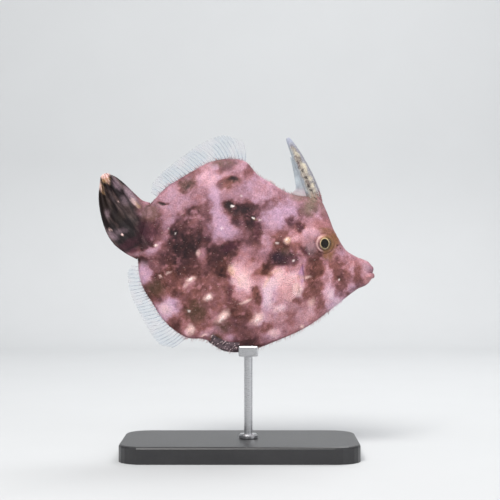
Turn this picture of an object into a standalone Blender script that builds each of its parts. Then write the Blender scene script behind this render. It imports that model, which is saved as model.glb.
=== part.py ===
"""Aiptasia-eating filefish, life size, held by a plain display stand.

Sizes are in millimetres and become metres where a mesh is made. +X runs from tail to snout,
+Z is up, and the mid plane of the fish is Y = 0. The origin is the middle of the stand's underside.
"""

import math

import bmesh
import bpy
import numpy as np
from mathutils import Matrix, Vector

MM = 0.001
GAP = 0.3
SMOOTH_ANGLE = 40
RIDGED_ANGLE = 12

# Stand
BASE_LENGTH = 84.0
BASE_WIDTH = 46.0
BASE_HEIGHT = 6.0
BASE_CORNER = 9.0
BASE_EDGE = 0.8
ROD_X = 3.0
ROD_RADIUS = 1.5
ROD_FOOT_RADIUS = 3.4
ROD_FOOT_HEIGHT = 1.4
SADDLE_LENGTH = 7.0
SADDLE_WIDTH = 5.6
SADDLE_FLOOR = 1.6
SADDLE_CHEEK = 1.9

# Body sections from tail root to lips: bottom x, bottom z, top x, top z, half width, fullness.
# A low fullness gives a round section, a high one a lens with thin edges.
BODY = np.array(
    (
        (-36.6, 70.3, -32.1, 89.6, 2.3, 0.60),
        (-35.0, 60.7, -26.4, 95.5, 2.9, 0.65),
        (-31.1, 53.9, -21.8, 98.5, 3.5, 0.70),
        (-25.7, 46.4, -15.7, 102.1, 4.2, 0.74),
        (-18.9, 41.8, -10.0, 104.8, 4.8, 0.76),
        (-12.5, 41.1, -3.9, 105.9, 5.4, 0.78),
        (-5.0, 37.3, 2.1, 104.8, 5.8, 0.78),
        (4.3, 37.5, 6.4, 100.1, 6.1, 0.78),
        (13.2, 40.7, 11.1, 97.3, 6.3, 0.76),
        (21.1, 44.1, 15.4, 94.6, 6.3, 0.72),
        (27.8, 48.2, 19.3, 93.0, 6.1, 0.68),
        (32.8, 52.1, 25.0, 92.1, 5.6, 0.64),
        (36.8, 55.2, 29.6, 89.6, 4.9, 0.60),
        (40.0, 57.7, 33.4, 80.7, 4.2, 0.57),
        (42.5, 59.4, 37.3, 73.9, 3.5, 0.54),
        (44.6, 60.2, 41.4, 71.0, 2.9, 0.52),
        (46.3, 61.8, 45.1, 69.5, 2.4, 0.50),
        (46.9, 63.4, 46.8, 67.4, 1.6, 0.50),
    )
)
ROOT_S = 0.0
TAIL_S = 1.0
GILL_S = 10.0
LIPS_S = 17.0
EDGE_HALF = 0.6
WIDEST_T = 0.54
SPINE_SEAT_S = 11.55
SPINE_SEAT_HALF = 1.6
SPINE_SEAT_REACH = 0.75

# Line of the keel pieces along the belly: section, height as a share of the body's depth
KEEL = np.array(
    (
        (5.0, 0.0),
        (5.25, 0.034),
        (6.55, 0.048),
        (7.3, 0.105),
        (8.1, 0.125),
        (8.9, 0.095),
        (9.6, 0.020),
        (9.85, 0.0),
    )
)
RUDIMENT_S = (5.25, 6.55)
FLAP_S = (6.55, 9.6)
FLAP_THINNING = 0.45

# Head
EYE_X = 30.0
EYE_Z = 75.5
EYE_RADIUS = 3.4
EYE_DEPTH = 2.1
EYE_SINK = 1.35
ORBIT_RADIUS = 3.95
ORBIT_RIM = 0.5
ORBIT_SINK = 0.3
NOSTRIL_PLACES = ((34.6, 74.6), (35.7, 73.6))
NOSTRIL_RADIUS = 0.42
LIP_RADIUS = 0.80
LIP_TIP_X = 47.2
LIP_REACH = 3.4
LIP_HALF_SPAN = 2.3
UPPER_LIP_SETBACK = 0.7
UPPER_LIP_Z = 66.1
LOWER_LIP_Z = 64.1
MOUTH_LINE = 0.36
MOUTH_DEPTH = 2.6

# Gill slit, from its top to its bottom end
GILL_TOP = (21.8, 68.9)
GILL_BOTTOM = (23.2, 61.0)
GILL_HALF_WIDTH = 0.42
GILL_DEPTH = 1.2

# Fins
MEMBRANE_HALF = 0.27
RAY_RIDGE = 0.22
RAY_STEP_BACK = 0.94
DORSAL_S = (6.0, 0.45)
DORSAL_RAYS = 28
DORSAL_FRONT_LENGTH = 10.8
DORSAL_REAR_LENGTH = 4.2
ANAL_S = (3.95, 0.3)
ANAL_RAYS = 26
ANAL_FRONT_LENGTH = 8.6
ANAL_REAR_LENGTH = 4.0
CAUDAL_RAYS = 12
CAUDAL_BEND = -2.2
CAUDAL_UPPER = ((-32.1, 89.6), (-35.2, 90.7), (-38.3, 93.7), (-41.3, 96.7), (-44.1, 99.0), (-46.4, 100.1))
CAUDAL_LOWER = ((-36.6, 70.3), (-41.4, 72.9), (-45.9, 76.9), (-48.7, 83.2), (-50.1, 91.2), (-49.3, 98.0))
PECTORAL_BASE = (21.1, 60.0)
PECTORAL_RAYS = 11
PECTORAL_LENGTH = 8.4
PECTORAL_ROOT_HEIGHT = 2.8
PECTORAL_SPREAD = 84.0

# First dorsal spine
SPINE_PATH = ((26.8, 91.0), (25.1, 98.0), (17.0, 113.2))
SPINE_ROOT = (2.60, 1.30)
SPINE_TIP = (0.50, 0.35)
SPINE_BLUNTNESS = (2.6, 0.60)
SPINE_FOOT = 0.2
SPINE_SIDES = 10
WEB_REAR = ((18.5, 93.4), (19.8, 95.0), (19.8, 97.0), (19.3, 100.0), (18.6, 103.6), (17.9, 106.4))
WEB_FOOT = 0.04
WEB_TOP = 0.78
# Rows of barbs: angle from the rear of the spine, count, first and last place along it, lengths there
BARB_ROWS = (
    (62, 12, 0.24, 0.96, 1.35, 0.6),
    (-62, 12, 0.24, 0.96, 1.35, 0.6),
    (128, 10, 0.26, 0.92, 0.85, 0.5),
    (-128, 10, 0.26, 0.92, 0.85, 0.5),
)
BARB_HALF = (0.36, 0.24)
BARB_SLANT = 40.0

# Spinules of the pelvic rudiment: section, height, length
SPINULES = (
    (5.45, 0.010, 1.7),
    (5.62, 0.022, 1.2),
    (5.72, 0.004, 1.5),
    (5.86, 0.024, 1.1),
    (5.97, 0.008, 1.6),
    (6.10, 0.020, 1.2),
    (6.20, 0.004, 1.2),
)
SPINULE_HALF = 0.32


def clear_scene():
    for obj in list(bpy.data.objects):
        bpy.data.objects.remove(obj)


def material(name, colour, roughness, metallic=0.0):
    made = bpy.data.materials.new(name)
    made.use_nodes = True
    shader = made.node_tree.nodes["Principled BSDF"]
    shader.inputs["Base Color"].default_value = (*colour, 1.0)
    shader.inputs["Roughness"].default_value = roughness
    shader.inputs["Metallic"].default_value = metallic
    return made


def signed_volume(points, faces):
    corners = points[faces]
    return np.einsum("ij,ij->i", corners[:, 0], np.cross(corners[:, 1], corners[:, 2])).sum() / 6


def add_object(name, points, faces, finish=None, smooth_angle=SMOOTH_ANGLE):
    """A mesh object from points in millimetres, with its triangles facing out."""
    points = np.asarray(points, float).reshape(-1, 3)
    faces = np.asarray(faces, int)
    if signed_volume(points, faces) < 0:
        faces = faces[:, ::-1]
    mesh = bpy.data.meshes.new(name)
    mesh.from_pydata((points * MM).tolist(), [], faces.tolist())
    mesh.shade_smooth()
    mesh.set_sharp_from_angle(angle=math.radians(smooth_angle))
    obj = bpy.data.objects.new(name, mesh)
    bpy.context.scene.collection.objects.link(obj)
    if finish:
        mesh.materials.append(finish)
    return obj


def slab(left, right):
    """Points and triangles of the closed solid between two matching grids, split alike on both faces."""
    rows, columns = left.shape[:2]
    number = np.arange(rows * columns).reshape(rows, columns)
    a = number[:-1, :-1].ravel()
    b = number[1:, :-1].ravel()
    c = number[1:, 1:].ravel()
    d = number[:-1, 1:].ravel()
    face = np.concatenate((np.stack((a, b, c), 1), np.stack((a, c, d), 1)))
    rim = np.concatenate((number[:, 0], number[-1, 1:], number[-2::-1, -1], number[0, -2:0:-1]))
    after = np.roll(rim, -1)
    far = rows * columns
    near_half = np.stack((rim, rim + far, after + far), 1)
    edge = np.concatenate((near_half, np.stack((rim, after + far, after), 1)))
    points = np.concatenate((left.reshape(-1, 3), right.reshape(-1, 3)))
    return points, np.concatenate((face, face[:, ::-1] + far, edge))


def along(knots, s):
    """The row at place s on a smooth curve through the rows of knots."""
    knots = np.asarray(knots, float)
    s = np.clip(np.asarray(s, float), 0, len(knots) - 1)
    i = np.minimum(s.astype(int), len(knots) - 2)
    f = (s - i)[..., None]
    before = np.where((i > 0)[..., None], knots[np.maximum(i - 1, 0)], 2 * knots[i] - knots[i + 1])
    last = np.where(
        (i + 2 < len(knots))[..., None], knots[np.minimum(i + 2, len(knots) - 1)], 2 * knots[i + 1] - knots[i]
    )
    start_slope = (knots[i + 1] - before) / 2
    end_slope = (last - knots[i]) / 2
    return (
        knots[i] * (2 * f**3 - 3 * f**2 + 1)
        + start_slope * (f**3 - 2 * f**2 + f)
        + knots[i + 1] * (3 * f**2 - 2 * f**3)
        + end_slope * (f**3 - f**2)
    )


def smooth_step(value):
    value = np.clip(value, 0, 1)
    return value * value * (3 - 2 * value)


def keel_height(s):
    return float(np.interp(s, KEEL[:, 0], KEEL[:, 1]))


def half_width(s, t):
    """Half of the body's thickness at section s and height t, from 0 at the belly to 1 at the back."""
    row = along(BODY, s)
    skewed = np.clip(t, 0, 1) ** (math.log(0.5) / math.log(WIDEST_T))
    lens = np.clip(1 - np.abs(2 * skewed - 1) ** 2.2, 0, 1) ** row[..., 5]
    flap = np.interp(s, (5, 6.6, 9.6, 10.4), (0, 1, 1, 0)) * FLAP_THINNING
    lens = lens * (1 - flap * (1 - smooth_step(np.asarray(t) / 0.3)))
    seat = np.clip(1 - np.abs(np.asarray(s) - SPINE_SEAT_S) / SPINE_SEAT_REACH, 0, 1)
    edge = EDGE_HALF + (SPINE_SEAT_HALF - EDGE_HALF) * smooth_step(2 * seat) * (np.asarray(t) > 0.5)
    return edge + (row[..., 4] - edge) * lens


def side_point(s, t, side):
    row = along(BODY, s)
    t = np.asarray(t, float)
    x = row[..., 0] + (row[..., 2] - row[..., 0]) * t
    z = row[..., 1] + (row[..., 3] - row[..., 1]) * t
    return np.stack((x, side * half_width(s, t), z), -1)


def place_on_side(x, z):
    """The section and height of a point of the side view."""
    low, high = 0.0, LIPS_S
    for _ in range(40):
        s = (low + high) / 2
        row = along(BODY, s)
        t = (z - row[1]) / (row[3] - row[1])
        if row[0] + (row[2] - row[0]) * t < x:
            low = s
        else:
            high = s
    return s, t


def width_at(x, z):
    return float(half_width(*place_on_side(x, z)))


def outline_point(s, top):
    row = along(BODY, s)
    return row[..., 2:4] if top else row[..., 0:2]


def outline_normal(s, top):
    step = outline_point(s + 0.02, top) - outline_point(s - 0.02, top)
    normal = np.stack((-step[..., 1], step[..., 0]), -1)
    normal = normal if top else -normal
    return normal / np.linalg.norm(normal, axis=-1, keepdims=True)


def back_height(x):
    """Height of the back line over a point of the length."""
    s = np.linspace(8, LIPS_S, 400)
    line = outline_point(s, True)
    return float(np.interp(x, line[:, 0], line[:, 1]))


def body_block(name, s_range, columns, rows, low, high, finish, lift=(0.0, 0.0)):
    """A closed length of the body between two sections, from share low(s) to high(s) of its depth."""
    knots = [s for s in KEEL[:, 0] if s_range[0] < s < s_range[1]]
    s = np.unique(np.round(np.concatenate((np.linspace(*s_range, columns), knots)), 3))
    share = (1 - np.cos(np.linspace(0, math.pi, rows))) / 2
    bottom = np.array([low(x) for x in s])[:, None]
    top = np.array([high(x) for x in s])[:, None]
    t = bottom + (top - bottom) * share[None, :]
    grids = []
    for side in (1, -1):
        grid = side_point(np.repeat(s[:, None], rows, 1), t, side)
        grid[0, :, 0] += GAP / 2 if s_range[0] > ROOT_S else 0
        grid[-1, :, 0] -= GAP / 2 if s_range[1] < LIPS_S else 0
        grid[:, 0, 2] += np.where(bottom[:, 0] > 0, lift[0], 0)
        grid[:, -1, 2] += lift[1]
        grids.append(grid)
    return add_object(name, *slab(*grids), finish)


def evaluated_mesh(obj):
    graph = bpy.context.evaluated_depsgraph_get()
    return bpy.data.meshes.new_from_object(obj.evaluated_get(graph))


def keep_largest(obj):
    """Drops every closed surface of the object but the largest."""
    shape = bmesh.new()
    shape.from_mesh(obj.data)
    bmesh.ops.remove_doubles(shape, verts=shape.verts, dist=1e-7)
    left = set(shape.verts)
    groups = []
    while left:
        group = {left.pop()}
        front = list(group)
        while front:
            near = {edge.other_vert(vert) for vert in front for edge in vert.link_edges} - group
            group |= near
            front = list(near)
        left -= group
        groups.append(group)
    groups.sort(key=len)
    for group in groups[:-1]:
        bmesh.ops.delete(shape, geom=list(group), context="VERTS")
    shape.to_mesh(obj.data)
    shape.free()


def combine(obj, pieces, operation):
    """Joins the pieces to the object, or cuts them from it, and removes them."""
    group = bpy.data.collections.new(obj.name + "_pieces")
    bpy.context.scene.collection.children.link(group)
    for piece in pieces:
        bpy.context.scene.collection.objects.unlink(piece)
        group.objects.link(piece)
    modifier = obj.modifiers.new(operation, "BOOLEAN")
    modifier.operation = operation
    modifier.operand_type = "COLLECTION"
    modifier.collection = group
    modifier.solver = "EXACT"
    mesh = evaluated_mesh(obj)
    obj.modifiers.clear()
    obj.data = mesh
    for piece in pieces:
        bpy.data.objects.remove(piece)
    bpy.data.collections.remove(group)
    keep_largest(obj)
    mesh.shade_smooth()
    mesh.set_sharp_from_angle(angle=math.radians(SMOOTH_ANGLE))


def turned(name, profile, steps, finish=None):
    """A solid of revolution about the upright line through the origin, from (radius, height) pairs."""
    angles = np.arange(steps) * 2 * math.pi / steps
    rings = [[(r * math.cos(a), r * math.sin(a), z) for a in angles] for r, z in profile]
    points = [p for ring in rings for p in ring] + [(0, 0, profile[0][1]), (0, 0, profile[-1][1])]
    faces = []
    for i in range(len(profile) - 1):
        for j in range(steps):
            k = (j + 1) % steps
            a, b = i * steps + j, i * steps + k
            faces += [(a, b, b + steps), (a, b + steps, a + steps)]
    low, high = len(points) - 2, len(points) - 1
    top = (len(profile) - 1) * steps
    for j in range(steps):
        k = (j + 1) % steps
        faces += [(low, k, j), (high, top + j, top + k)]
    return add_object(name, points, faces, finish)


def tube(name, path, radii, sides, finish=None, side_axis=(0, 1, 0)):
    """A closed tapered tube along a path; radii are pairs across the path, in its plane and beside it."""
    path = np.asarray(path, float)
    side_axis = np.asarray(side_axis, float)
    slope = np.gradient(path, axis=0)
    slope /= np.linalg.norm(slope, axis=1, keepdims=True)
    angles = np.arange(sides) * 2 * math.pi / sides
    points = []
    for centre, ahead, (in_plane, beside) in zip(path, slope, radii):
        out = np.cross(side_axis, ahead)
        out /= np.linalg.norm(out)
        points += [centre + out * in_plane * math.cos(a) + side_axis * beside * math.sin(a) for a in angles]
    faces = []
    for i in range(len(path) - 1):
        for j in range(sides):
            k = (j + 1) % sides
            a, b = i * sides + j, i * sides + k
            faces += [(a, b, b + sides), (a, b + sides, a + sides)]
    points += [path[0], path[-1]]
    low, high = len(points) - 2, len(points) - 1
    top = (len(path) - 1) * sides
    for j in range(sides):
        k = (j + 1) % sides
        faces += [(low, k, j), (high, top + j, top + k)]
    return add_object(name, points, faces, finish)


def ball(name, centre, radii, finish=None, segments=20, rings=10):
    mesh = bpy.data.meshes.new(name)
    shape = bmesh.new()
    bmesh.ops.create_uvsphere(shape, u_segments=segments, v_segments=rings, radius=1)
    size = Matrix.Diagonal(Vector(radii) * MM).to_4x4()
    turn = Matrix.Rotation(math.pi / 2, 4, "X")
    bmesh.ops.transform(shape, matrix=size @ turn, verts=shape.verts)
    bmesh.ops.triangulate(shape, faces=shape.faces)
    shape.to_mesh(mesh)
    shape.free()
    mesh.shade_smooth()
    obj = bpy.data.objects.new(name, mesh)
    obj.location = Vector(centre) * MM
    bpy.context.scene.collection.objects.link(obj)
    if finish:
        mesh.materials.append(finish)
    return obj


def ring(name, centre, radius, thickness, turns=28, sides=8):
    """A round rim standing in the plane of the fish's side."""
    points = []
    faces = []
    for i in range(turns):
        a = i * 2 * math.pi / turns
        out = np.array((math.cos(a), 0, math.sin(a)))
        for j in range(sides):
            b = j * 2 * math.pi / sides
            away = out * (radius + thickness * math.cos(b))
            points.append(np.array(centre) + away + (0, thickness * math.sin(b), 0))
    for i in range(turns):
        for j in range(sides):
            a = i * sides + j
            b = i * sides + (j + 1) % sides
            c = ((i + 1) % turns) * sides + (j + 1) % sides
            d = ((i + 1) % turns) * sides + j
            faces += [(a, b, c), (a, c, d)]
    return add_object(name, points, faces)


def eye_centre(side):
    return EYE_X, side * (width_at(EYE_X, EYE_Z) - EYE_SINK), EYE_Z


def lip(name, z, setback):
    """Half a hoop round the tip of the snout, thinner towards the corners of the mouth."""
    steps = 13
    turn = np.linspace(-math.pi / 2, math.pi / 2, steps)
    x = LIP_TIP_X - LIP_REACH * (1 - np.cos(turn)) - setback
    path = np.stack((x, LIP_HALF_SPAN * np.sin(turn), np.full(steps, z)), -1)
    radius = LIP_RADIUS * (0.55 + 0.45 * np.cos(turn) ** 0.7)
    return tube(name, path, np.stack((radius, radius), -1), 8, side_axis=(0, 0, 1))


def mouth_cutter():
    """A wedge between the lips, thin at its inner end and open in front."""
    points = []
    z = (UPPER_LIP_Z + LOWER_LIP_Z) / 2
    reach = LIP_HALF_SPAN + 2
    corners = ((-reach, -1), (reach, -1), (reach, 1), (-reach, 1))
    for x, half in ((LIP_TIP_X + LIP_RADIUS - MOUTH_DEPTH, 0.08), (LIP_TIP_X + 3, MOUTH_LINE / 2)):
        points += [(x, y, z + side * half) for y, side in corners]
    faces = [(0, 1, 2), (0, 2, 3), (4, 6, 5), (4, 7, 6)]
    for j in range(4):
        k = (j + 1) % 4
        faces += [(j, j + 4, k + 4), (j, k + 4, k)]
    return add_object("mouth_cutter", points, faces)


def make_head(skin):
    head = body_block("head", (GILL_S, LIPS_S), 15, 17, lambda s: 0, lambda s: 1, skin)
    rims = []
    sockets = []
    for side in (1, -1):
        x, y, z = eye_centre(side)
        rim_y = side * (width_at(EYE_X, EYE_Z) - ORBIT_SINK)
        rims.append(ring("orbit", (x, rim_y, z), ORBIT_RADIUS, ORBIT_RIM))
        grown = (EYE_RADIUS + GAP, EYE_DEPTH + GAP, EYE_RADIUS + GAP)
        sockets.append(ball("socket", (x, y, z), grown))
        for nx, nz in NOSTRIL_PLACES:
            pit = (NOSTRIL_RADIUS, 0.6, NOSTRIL_RADIUS)
            sockets.append(ball("nostril", (nx, side * width_at(nx, nz), nz), pit, segments=8, rings=6))
    lips = [lip("upper_lip", UPPER_LIP_Z, UPPER_LIP_SETBACK), lip("lower_lip", LOWER_LIP_Z, 0)]
    combine(head, rims + lips, "UNION")
    combine(head, sockets + [mouth_cutter()], "DIFFERENCE")
    return head


def make_eyes(finish):
    for name, side in (("eye_left", 1), ("eye_right", -1)):
        ball(name, eye_centre(side), (EYE_RADIUS, EYE_DEPTH, EYE_RADIUS), finish)


def gill_cutter(side):
    """A long thin lens through the skin behind the head."""
    top, bottom = np.array(GILL_TOP), np.array(GILL_BOTTOM)
    middle = (top + bottom) / 2
    length_way = (top - bottom) / 2
    cross_way = np.array((length_way[1], -length_way[0])) / np.linalg.norm(length_way) * GILL_HALF_WIDTH
    surface = width_at(*middle)
    steps = 14
    points = []
    for y in (surface - GILL_DEPTH, surface + 2.0):
        for i in range(steps):
            a = i * 2 * math.pi / steps
            x, z = middle + length_way * math.cos(a) + cross_way * math.sin(a)
            points.append((x, side * y, z))
    faces = []
    for i in range(1, steps - 1):
        faces += [(0, i, i + 1), (steps, steps + i + 1, steps + i)]
    for i in range(steps):
        k = (i + 1) % steps
        faces += [(i, i + steps, k + steps), (i, k + steps, k)]
    return add_object("gill_cutter", points, faces)


def make_torso(skin):
    torso = body_block("torso", (TAIL_S, GILL_S), 22, 17, keel_height, lambda s: 1, skin, (GAP / 2, 0))
    combine(torso, [gill_cutter(1), gill_cutter(-1)], "DIFFERENCE")
    return torso


def spike(name, root, way, length, half, sink):
    """A four-sided thorn whose root is sunk below the surface point it grows from."""
    way = np.asarray(way, float) / np.linalg.norm(way)
    across = np.cross(way, (0.3, 0.9, 0.31))
    across /= np.linalg.norm(across)
    beside = np.cross(way, across)
    foot = np.asarray(root, float) - way * sink
    points = [foot + half * (across * a + beside * b) for a, b in ((1, 0), (0, 1), (-1, 0), (0, -1))]
    points.append(np.asarray(root, float) + way * length)
    faces = [(0, 2, 1), (0, 3, 2), (0, 1, 4), (1, 2, 4), (2, 3, 4), (3, 0, 4)]
    return add_object(name, points, faces)


def make_keel(skin, bone):
    lift = (0, -GAP / 2)
    body_block("belly_flap", FLAP_S, 9, 7, lambda s: 0, keel_height, skin, lift)
    rudiment = body_block("pelvic_rudiment", RUDIMENT_S, 6, 5, lambda s: 0, keel_height, bone, lift)
    spinules = []
    for i, (s, t, length) in enumerate(SPINULES):
        for side in (1, -1):
            way = (-0.55 - 0.1 * (i % 3), side * (0.75 - 0.12 * (i % 2)), -0.6)
            spinules.append(spike("spinule", side_point(s, t, side), way, length, SPINULE_HALF, 0.45))
    combine(rudiment, spinules, "UNION")


def ray_ridges(columns, u):
    """Added half thickness: a ridge along every second column, which starts above the root."""
    ray = np.arange(columns) % 2 == 0
    return RAY_RIDGE * ray[None, :] * smooth_step(u * 5) * (1 - 0.35 * u)


def fin_sheet(name, roots, tips, controls, rows, root_half, finish, sway=0.0):
    """A fin standing in the mid plane; each column runs from a root to a tip by way of a control point."""
    u = np.linspace(0, 1, rows)[:, None, None]
    centre = roots * (1 - u) ** 2 + 2 * controls * u * (1 - u) + tips * u**2
    columns = centre.shape[1]
    bend = sway * np.sin(np.linspace(0, 2 * math.pi, columns))[None, :] * u[:, :, 0] ** 2
    half = root_half + (MEMBRANE_HALF - root_half) * smooth_step(u[:, :, 0] * 2.5) * np.ones((1, columns))
    half = half + ray_ridges(columns, u[:, :, 0])
    grids = [np.stack((centre[..., 0], bend + side * half, centre[..., 1]), -1) for side in (1, -1)]
    return add_object(name, *slab(*grids), finish, RIDGED_ANGLE)


def edge_fin(name, s_range, top, rays, front, rear, leans, finish):
    """A fin along the back or the belly line; leans are degrees swept back at its front and rear."""
    columns = 2 * rays - 1
    v = np.linspace(0, 1, columns)
    s = s_range[0] + (s_range[1] - s_range[0]) * v
    normal = outline_normal(s, top)
    roots = outline_point(s, top) + normal * GAP
    back = np.stack((-np.abs(normal[:, 1]), np.sign(normal[:, 1]) * normal[:, 0]), -1)
    length = (front + (rear - front) * v**0.8) * (0.72 + 0.28 * smooth_step(v * 9))
    length = (length * (1 - 0.35 * smooth_step((v - 0.93) / 0.07)))[:, None]
    lean = np.radians(leans[0] + (leans[1] - leans[0]) * v)[:, None]
    length = length * np.where(np.arange(columns) % 2 == 0, 1, RAY_STEP_BACK)[:, None]
    tips = roots + (normal * np.cos(lean) + back * np.sin(lean)) * length
    controls = roots + (normal * np.cos(lean * 0.5) + back * np.sin(lean * 0.5)) * length * 0.5
    return fin_sheet(name, roots, tips, controls, 6, EDGE_HALF - 0.05, finish, 0.5)


def make_edge_fins(finish):
    edge_fin(
        "dorsal_fin", DORSAL_S, True, DORSAL_RAYS, DORSAL_FRONT_LENGTH, DORSAL_REAR_LENGTH, (38, 12), finish
    )
    edge_fin("anal_fin", ANAL_S, False, ANAL_RAYS, ANAL_FRONT_LENGTH, ANAL_REAR_LENGTH, (28, 10), finish)


def make_caudal_fin(finish):
    columns = 2 * CAUDAL_RAYS - 1
    rows = 14
    u = np.linspace(0, 1, rows)
    v = np.linspace(0, 1, columns)
    upper = along(CAUDAL_UPPER, u * (len(CAUDAL_UPPER) - 1))
    lower = along(CAUDAL_LOWER, u * (len(CAUDAL_LOWER) - 1))
    centre = upper[:, None] * (1 - v[None, :, None]) + lower[:, None] * v[None, :, None]
    root = half_width(np.zeros(columns), 1 - v)[None, :]
    half = MEMBRANE_HALF + (root - MEMBRANE_HALF) * np.exp(-5.5 * u)[:, None]
    half = half + ray_ridges(columns, u[:, None]) * 1.3
    bend = (CAUDAL_BEND * u**2)[:, None]
    grids = []
    for side in (1, -1):
        grid = np.stack((centre[..., 0] - GAP, bend + side * half, centre[..., 1]), -1)
        grids.append(grid)
    return add_object("caudal_fin", *slab(*grids), finish, RIDGED_ANGLE)


def make_pectoral_fin(name, side, finish):
    columns = 2 * PECTORAL_RAYS - 1
    rows = 8
    u = np.linspace(0, 1, rows)[:, None]
    v = np.linspace(-1, 1, columns)[None, :]
    x0, z0 = PECTORAL_BASE
    surface = width_at(x0, z0)
    fan = np.radians(-8 + v * PECTORAL_SPREAD / 2)
    scallop = np.where(np.arange(columns) % 2 == 0, 1, RAY_STEP_BACK)[None, :]
    reach = PECTORAL_LENGTH * u * (1 - 0.24 * np.abs(v) ** 2.5) * (1 - (1 - scallop) * u)
    turn = np.radians(90 - 74 * smooth_step(u * 2.6))
    step = np.diff(u[:, 0], prepend=0)[:, None] * PECTORAL_LENGTH
    outward = np.cumsum(step * np.sin(turn), 0)
    backward = np.cumsum(step * np.cos(turn), 0) / np.maximum(u * PECTORAL_LENGTH, 1e-6)
    x = x0 - backward * reach * np.cos(fan)
    z = z0 + v * PECTORAL_ROOT_HEIGHT / 2 + backward * reach * np.sin(fan)
    y = surface + GAP + 0.05 + outward * np.ones_like(v)
    half = MEMBRANE_HALF + (0.6 - MEMBRANE_HALF) * (1 - smooth_step(u * 2)) * np.ones_like(v)
    half = half + ray_ridges(columns, u) * 0.8
    grids = []
    for face in (1, -1):
        shift_x = face * half * np.sin(turn)
        shift_y = face * half * np.cos(turn)
        grids.append(np.stack((x + shift_x, side * (y + shift_y), z), -1))
    return add_object(name, *slab(*grids), finish, RIDGED_ANGLE)


def spine_point(f):
    """Middle line of the spine in the side view, from root 0 to tip 1."""
    a, b, c = (np.array(p) for p in SPINE_PATH)
    f = np.asarray(f, float)[..., None]
    return a * (1 - f) ** 2 + 2 * b * f * (1 - f) + c * f**2


def spine_radii(f):
    """Half thickness of the spine in its plane and beside it."""
    share = (1 - np.clip(f, 0, 1) ** SPINE_BLUNTNESS[0]) ** SPINE_BLUNTNESS[1]
    return [SPINE_TIP[i] + (SPINE_ROOT[i] - SPINE_TIP[i]) * share for i in (0, 1)]


def make_spine(bone):
    f = np.append(0, np.linspace(SPINE_FOOT, 1, 11))
    centre = spine_point(f)
    path = np.stack((centre[:, 0], np.zeros(len(f)), centre[:, 1]), -1)
    spine = tube("dorsal_spine", path, np.stack(spine_radii(f), -1), SPINE_SIDES, bone)
    for vert in spine.data.vertices:
        if vert.index < SPINE_SIDES or vert.index == len(spine.data.vertices) - 2:
            vert.co.z = (back_height(vert.co.x / MM) + GAP) * MM
    combine(spine, make_barbs(), "UNION")
    return spine


def make_barbs():
    """Rows of barbs that slant down the spine, longest near its foot."""
    barbs = []
    for angle, count, first, last, long, short in BARB_ROWS:
        stagger = 0.5 / count if abs(angle) > 90 else 0
        for i in range(count):
            share = i / (count - 1)
            f = first + (last - first) * share + stagger * (last - first) * 0.5
            x, z = spine_point(f)
            step = spine_point(f + 0.01) - spine_point(f - 0.01)
            ahead = np.array((step[0], 0, step[1])) / np.linalg.norm(step)
            rearward = np.array((-ahead[2], 0, ahead[0]))
            in_plane, beside = spine_radii(f)
            a = math.radians(angle)
            root = np.array((x, 0, z)) + rearward * in_plane * math.cos(a) + (0, beside * math.sin(a), 0)
            out = rearward * math.cos(a) + np.array((0, math.sin(a), 0))
            slant = math.radians(BARB_SLANT)
            way = out * math.cos(slant) - ahead * math.sin(slant)
            length = long + (short - long) * share
            half = BARB_HALF[0] + (BARB_HALF[1] - BARB_HALF[0]) * share
            barbs.append(spike("barb", root, way, length, half, 0.9 * half))
    return barbs


def make_web(finish):
    rows = 11
    columns = 5
    f = np.linspace(WEB_FOOT, WEB_TOP, rows)
    centre = spine_point(f)
    ahead = np.gradient(centre, axis=0)
    ahead /= np.linalg.norm(ahead, axis=1, keepdims=True)
    rearward = np.stack((-ahead[:, 1], ahead[:, 0]), -1)
    front = centre + rearward * (spine_radii(f)[0] + GAP)[:, None]
    rear = along(WEB_REAR, np.linspace(0, len(WEB_REAR) - 1, rows))
    v = np.linspace(0, 1, columns)[None, :, None]
    sheet = front[:, None] * (1 - v) + rear[:, None] * v
    for j in range(columns):
        sheet[0, j, 1] = back_height(sheet[0, j, 0]) + GAP
    half = np.full(sheet.shape[:2], MEMBRANE_HALF)
    grids = [np.stack((sheet[..., 0], side * half, sheet[..., 1]), -1) for side in (1, -1)]
    return add_object("spine_membrane", *slab(*grids), finish)


def make_stand(board, metal):
    mesh = bpy.data.meshes.new("stand_base")
    shape = bmesh.new()
    bmesh.ops.create_cube(shape, size=1)
    size = Matrix.Diagonal((BASE_LENGTH * MM, BASE_WIDTH * MM, BASE_HEIGHT * MM, 1))
    bmesh.ops.transform(shape, matrix=size, verts=shape.verts)
    uprights = [e for e in shape.edges if abs(e.verts[0].co.z - e.verts[1].co.z) > BASE_HEIGHT * MM / 2]
    bmesh.ops.bevel(shape, geom=uprights, offset=BASE_CORNER * MM, segments=6, profile=0.5, affect="EDGES")
    top_edges = [e for e in shape.edges if all(v.co.z > 0 for v in e.verts)]
    bmesh.ops.bevel(shape, geom=top_edges, offset=BASE_EDGE * MM, segments=2, profile=0.5, affect="EDGES")
    bmesh.ops.triangulate(shape, faces=shape.faces)
    shape.to_mesh(mesh)
    shape.free()
    base = bpy.data.objects.new("stand_base", mesh)
    base.location.z = BASE_HEIGHT * MM / 2
    bpy.context.scene.collection.objects.link(base)
    mesh.materials.append(board)
    s_rod = place_on_side(ROD_X, 45.0)[0]
    keel_z = float(outline_point(s_rod, False)[1])
    bottom = keel_z - GAP - SADDLE_FLOOR
    foot = BASE_HEIGHT + GAP
    profile = (
        (ROD_FOOT_RADIUS, foot),
        (ROD_FOOT_RADIUS, foot + ROD_FOOT_HEIGHT * 0.6),
        (ROD_FOOT_RADIUS - 0.5, foot + ROD_FOOT_HEIGHT),
        (ROD_RADIUS, foot + ROD_FOOT_HEIGHT),
        (ROD_RADIUS, bottom - GAP),
    )
    rod = turned("stand_rod", profile, 20, metal)
    rod.location.x = ROD_X * MM
    make_saddle(s_rod, bottom, keel_z, metal)


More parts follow.
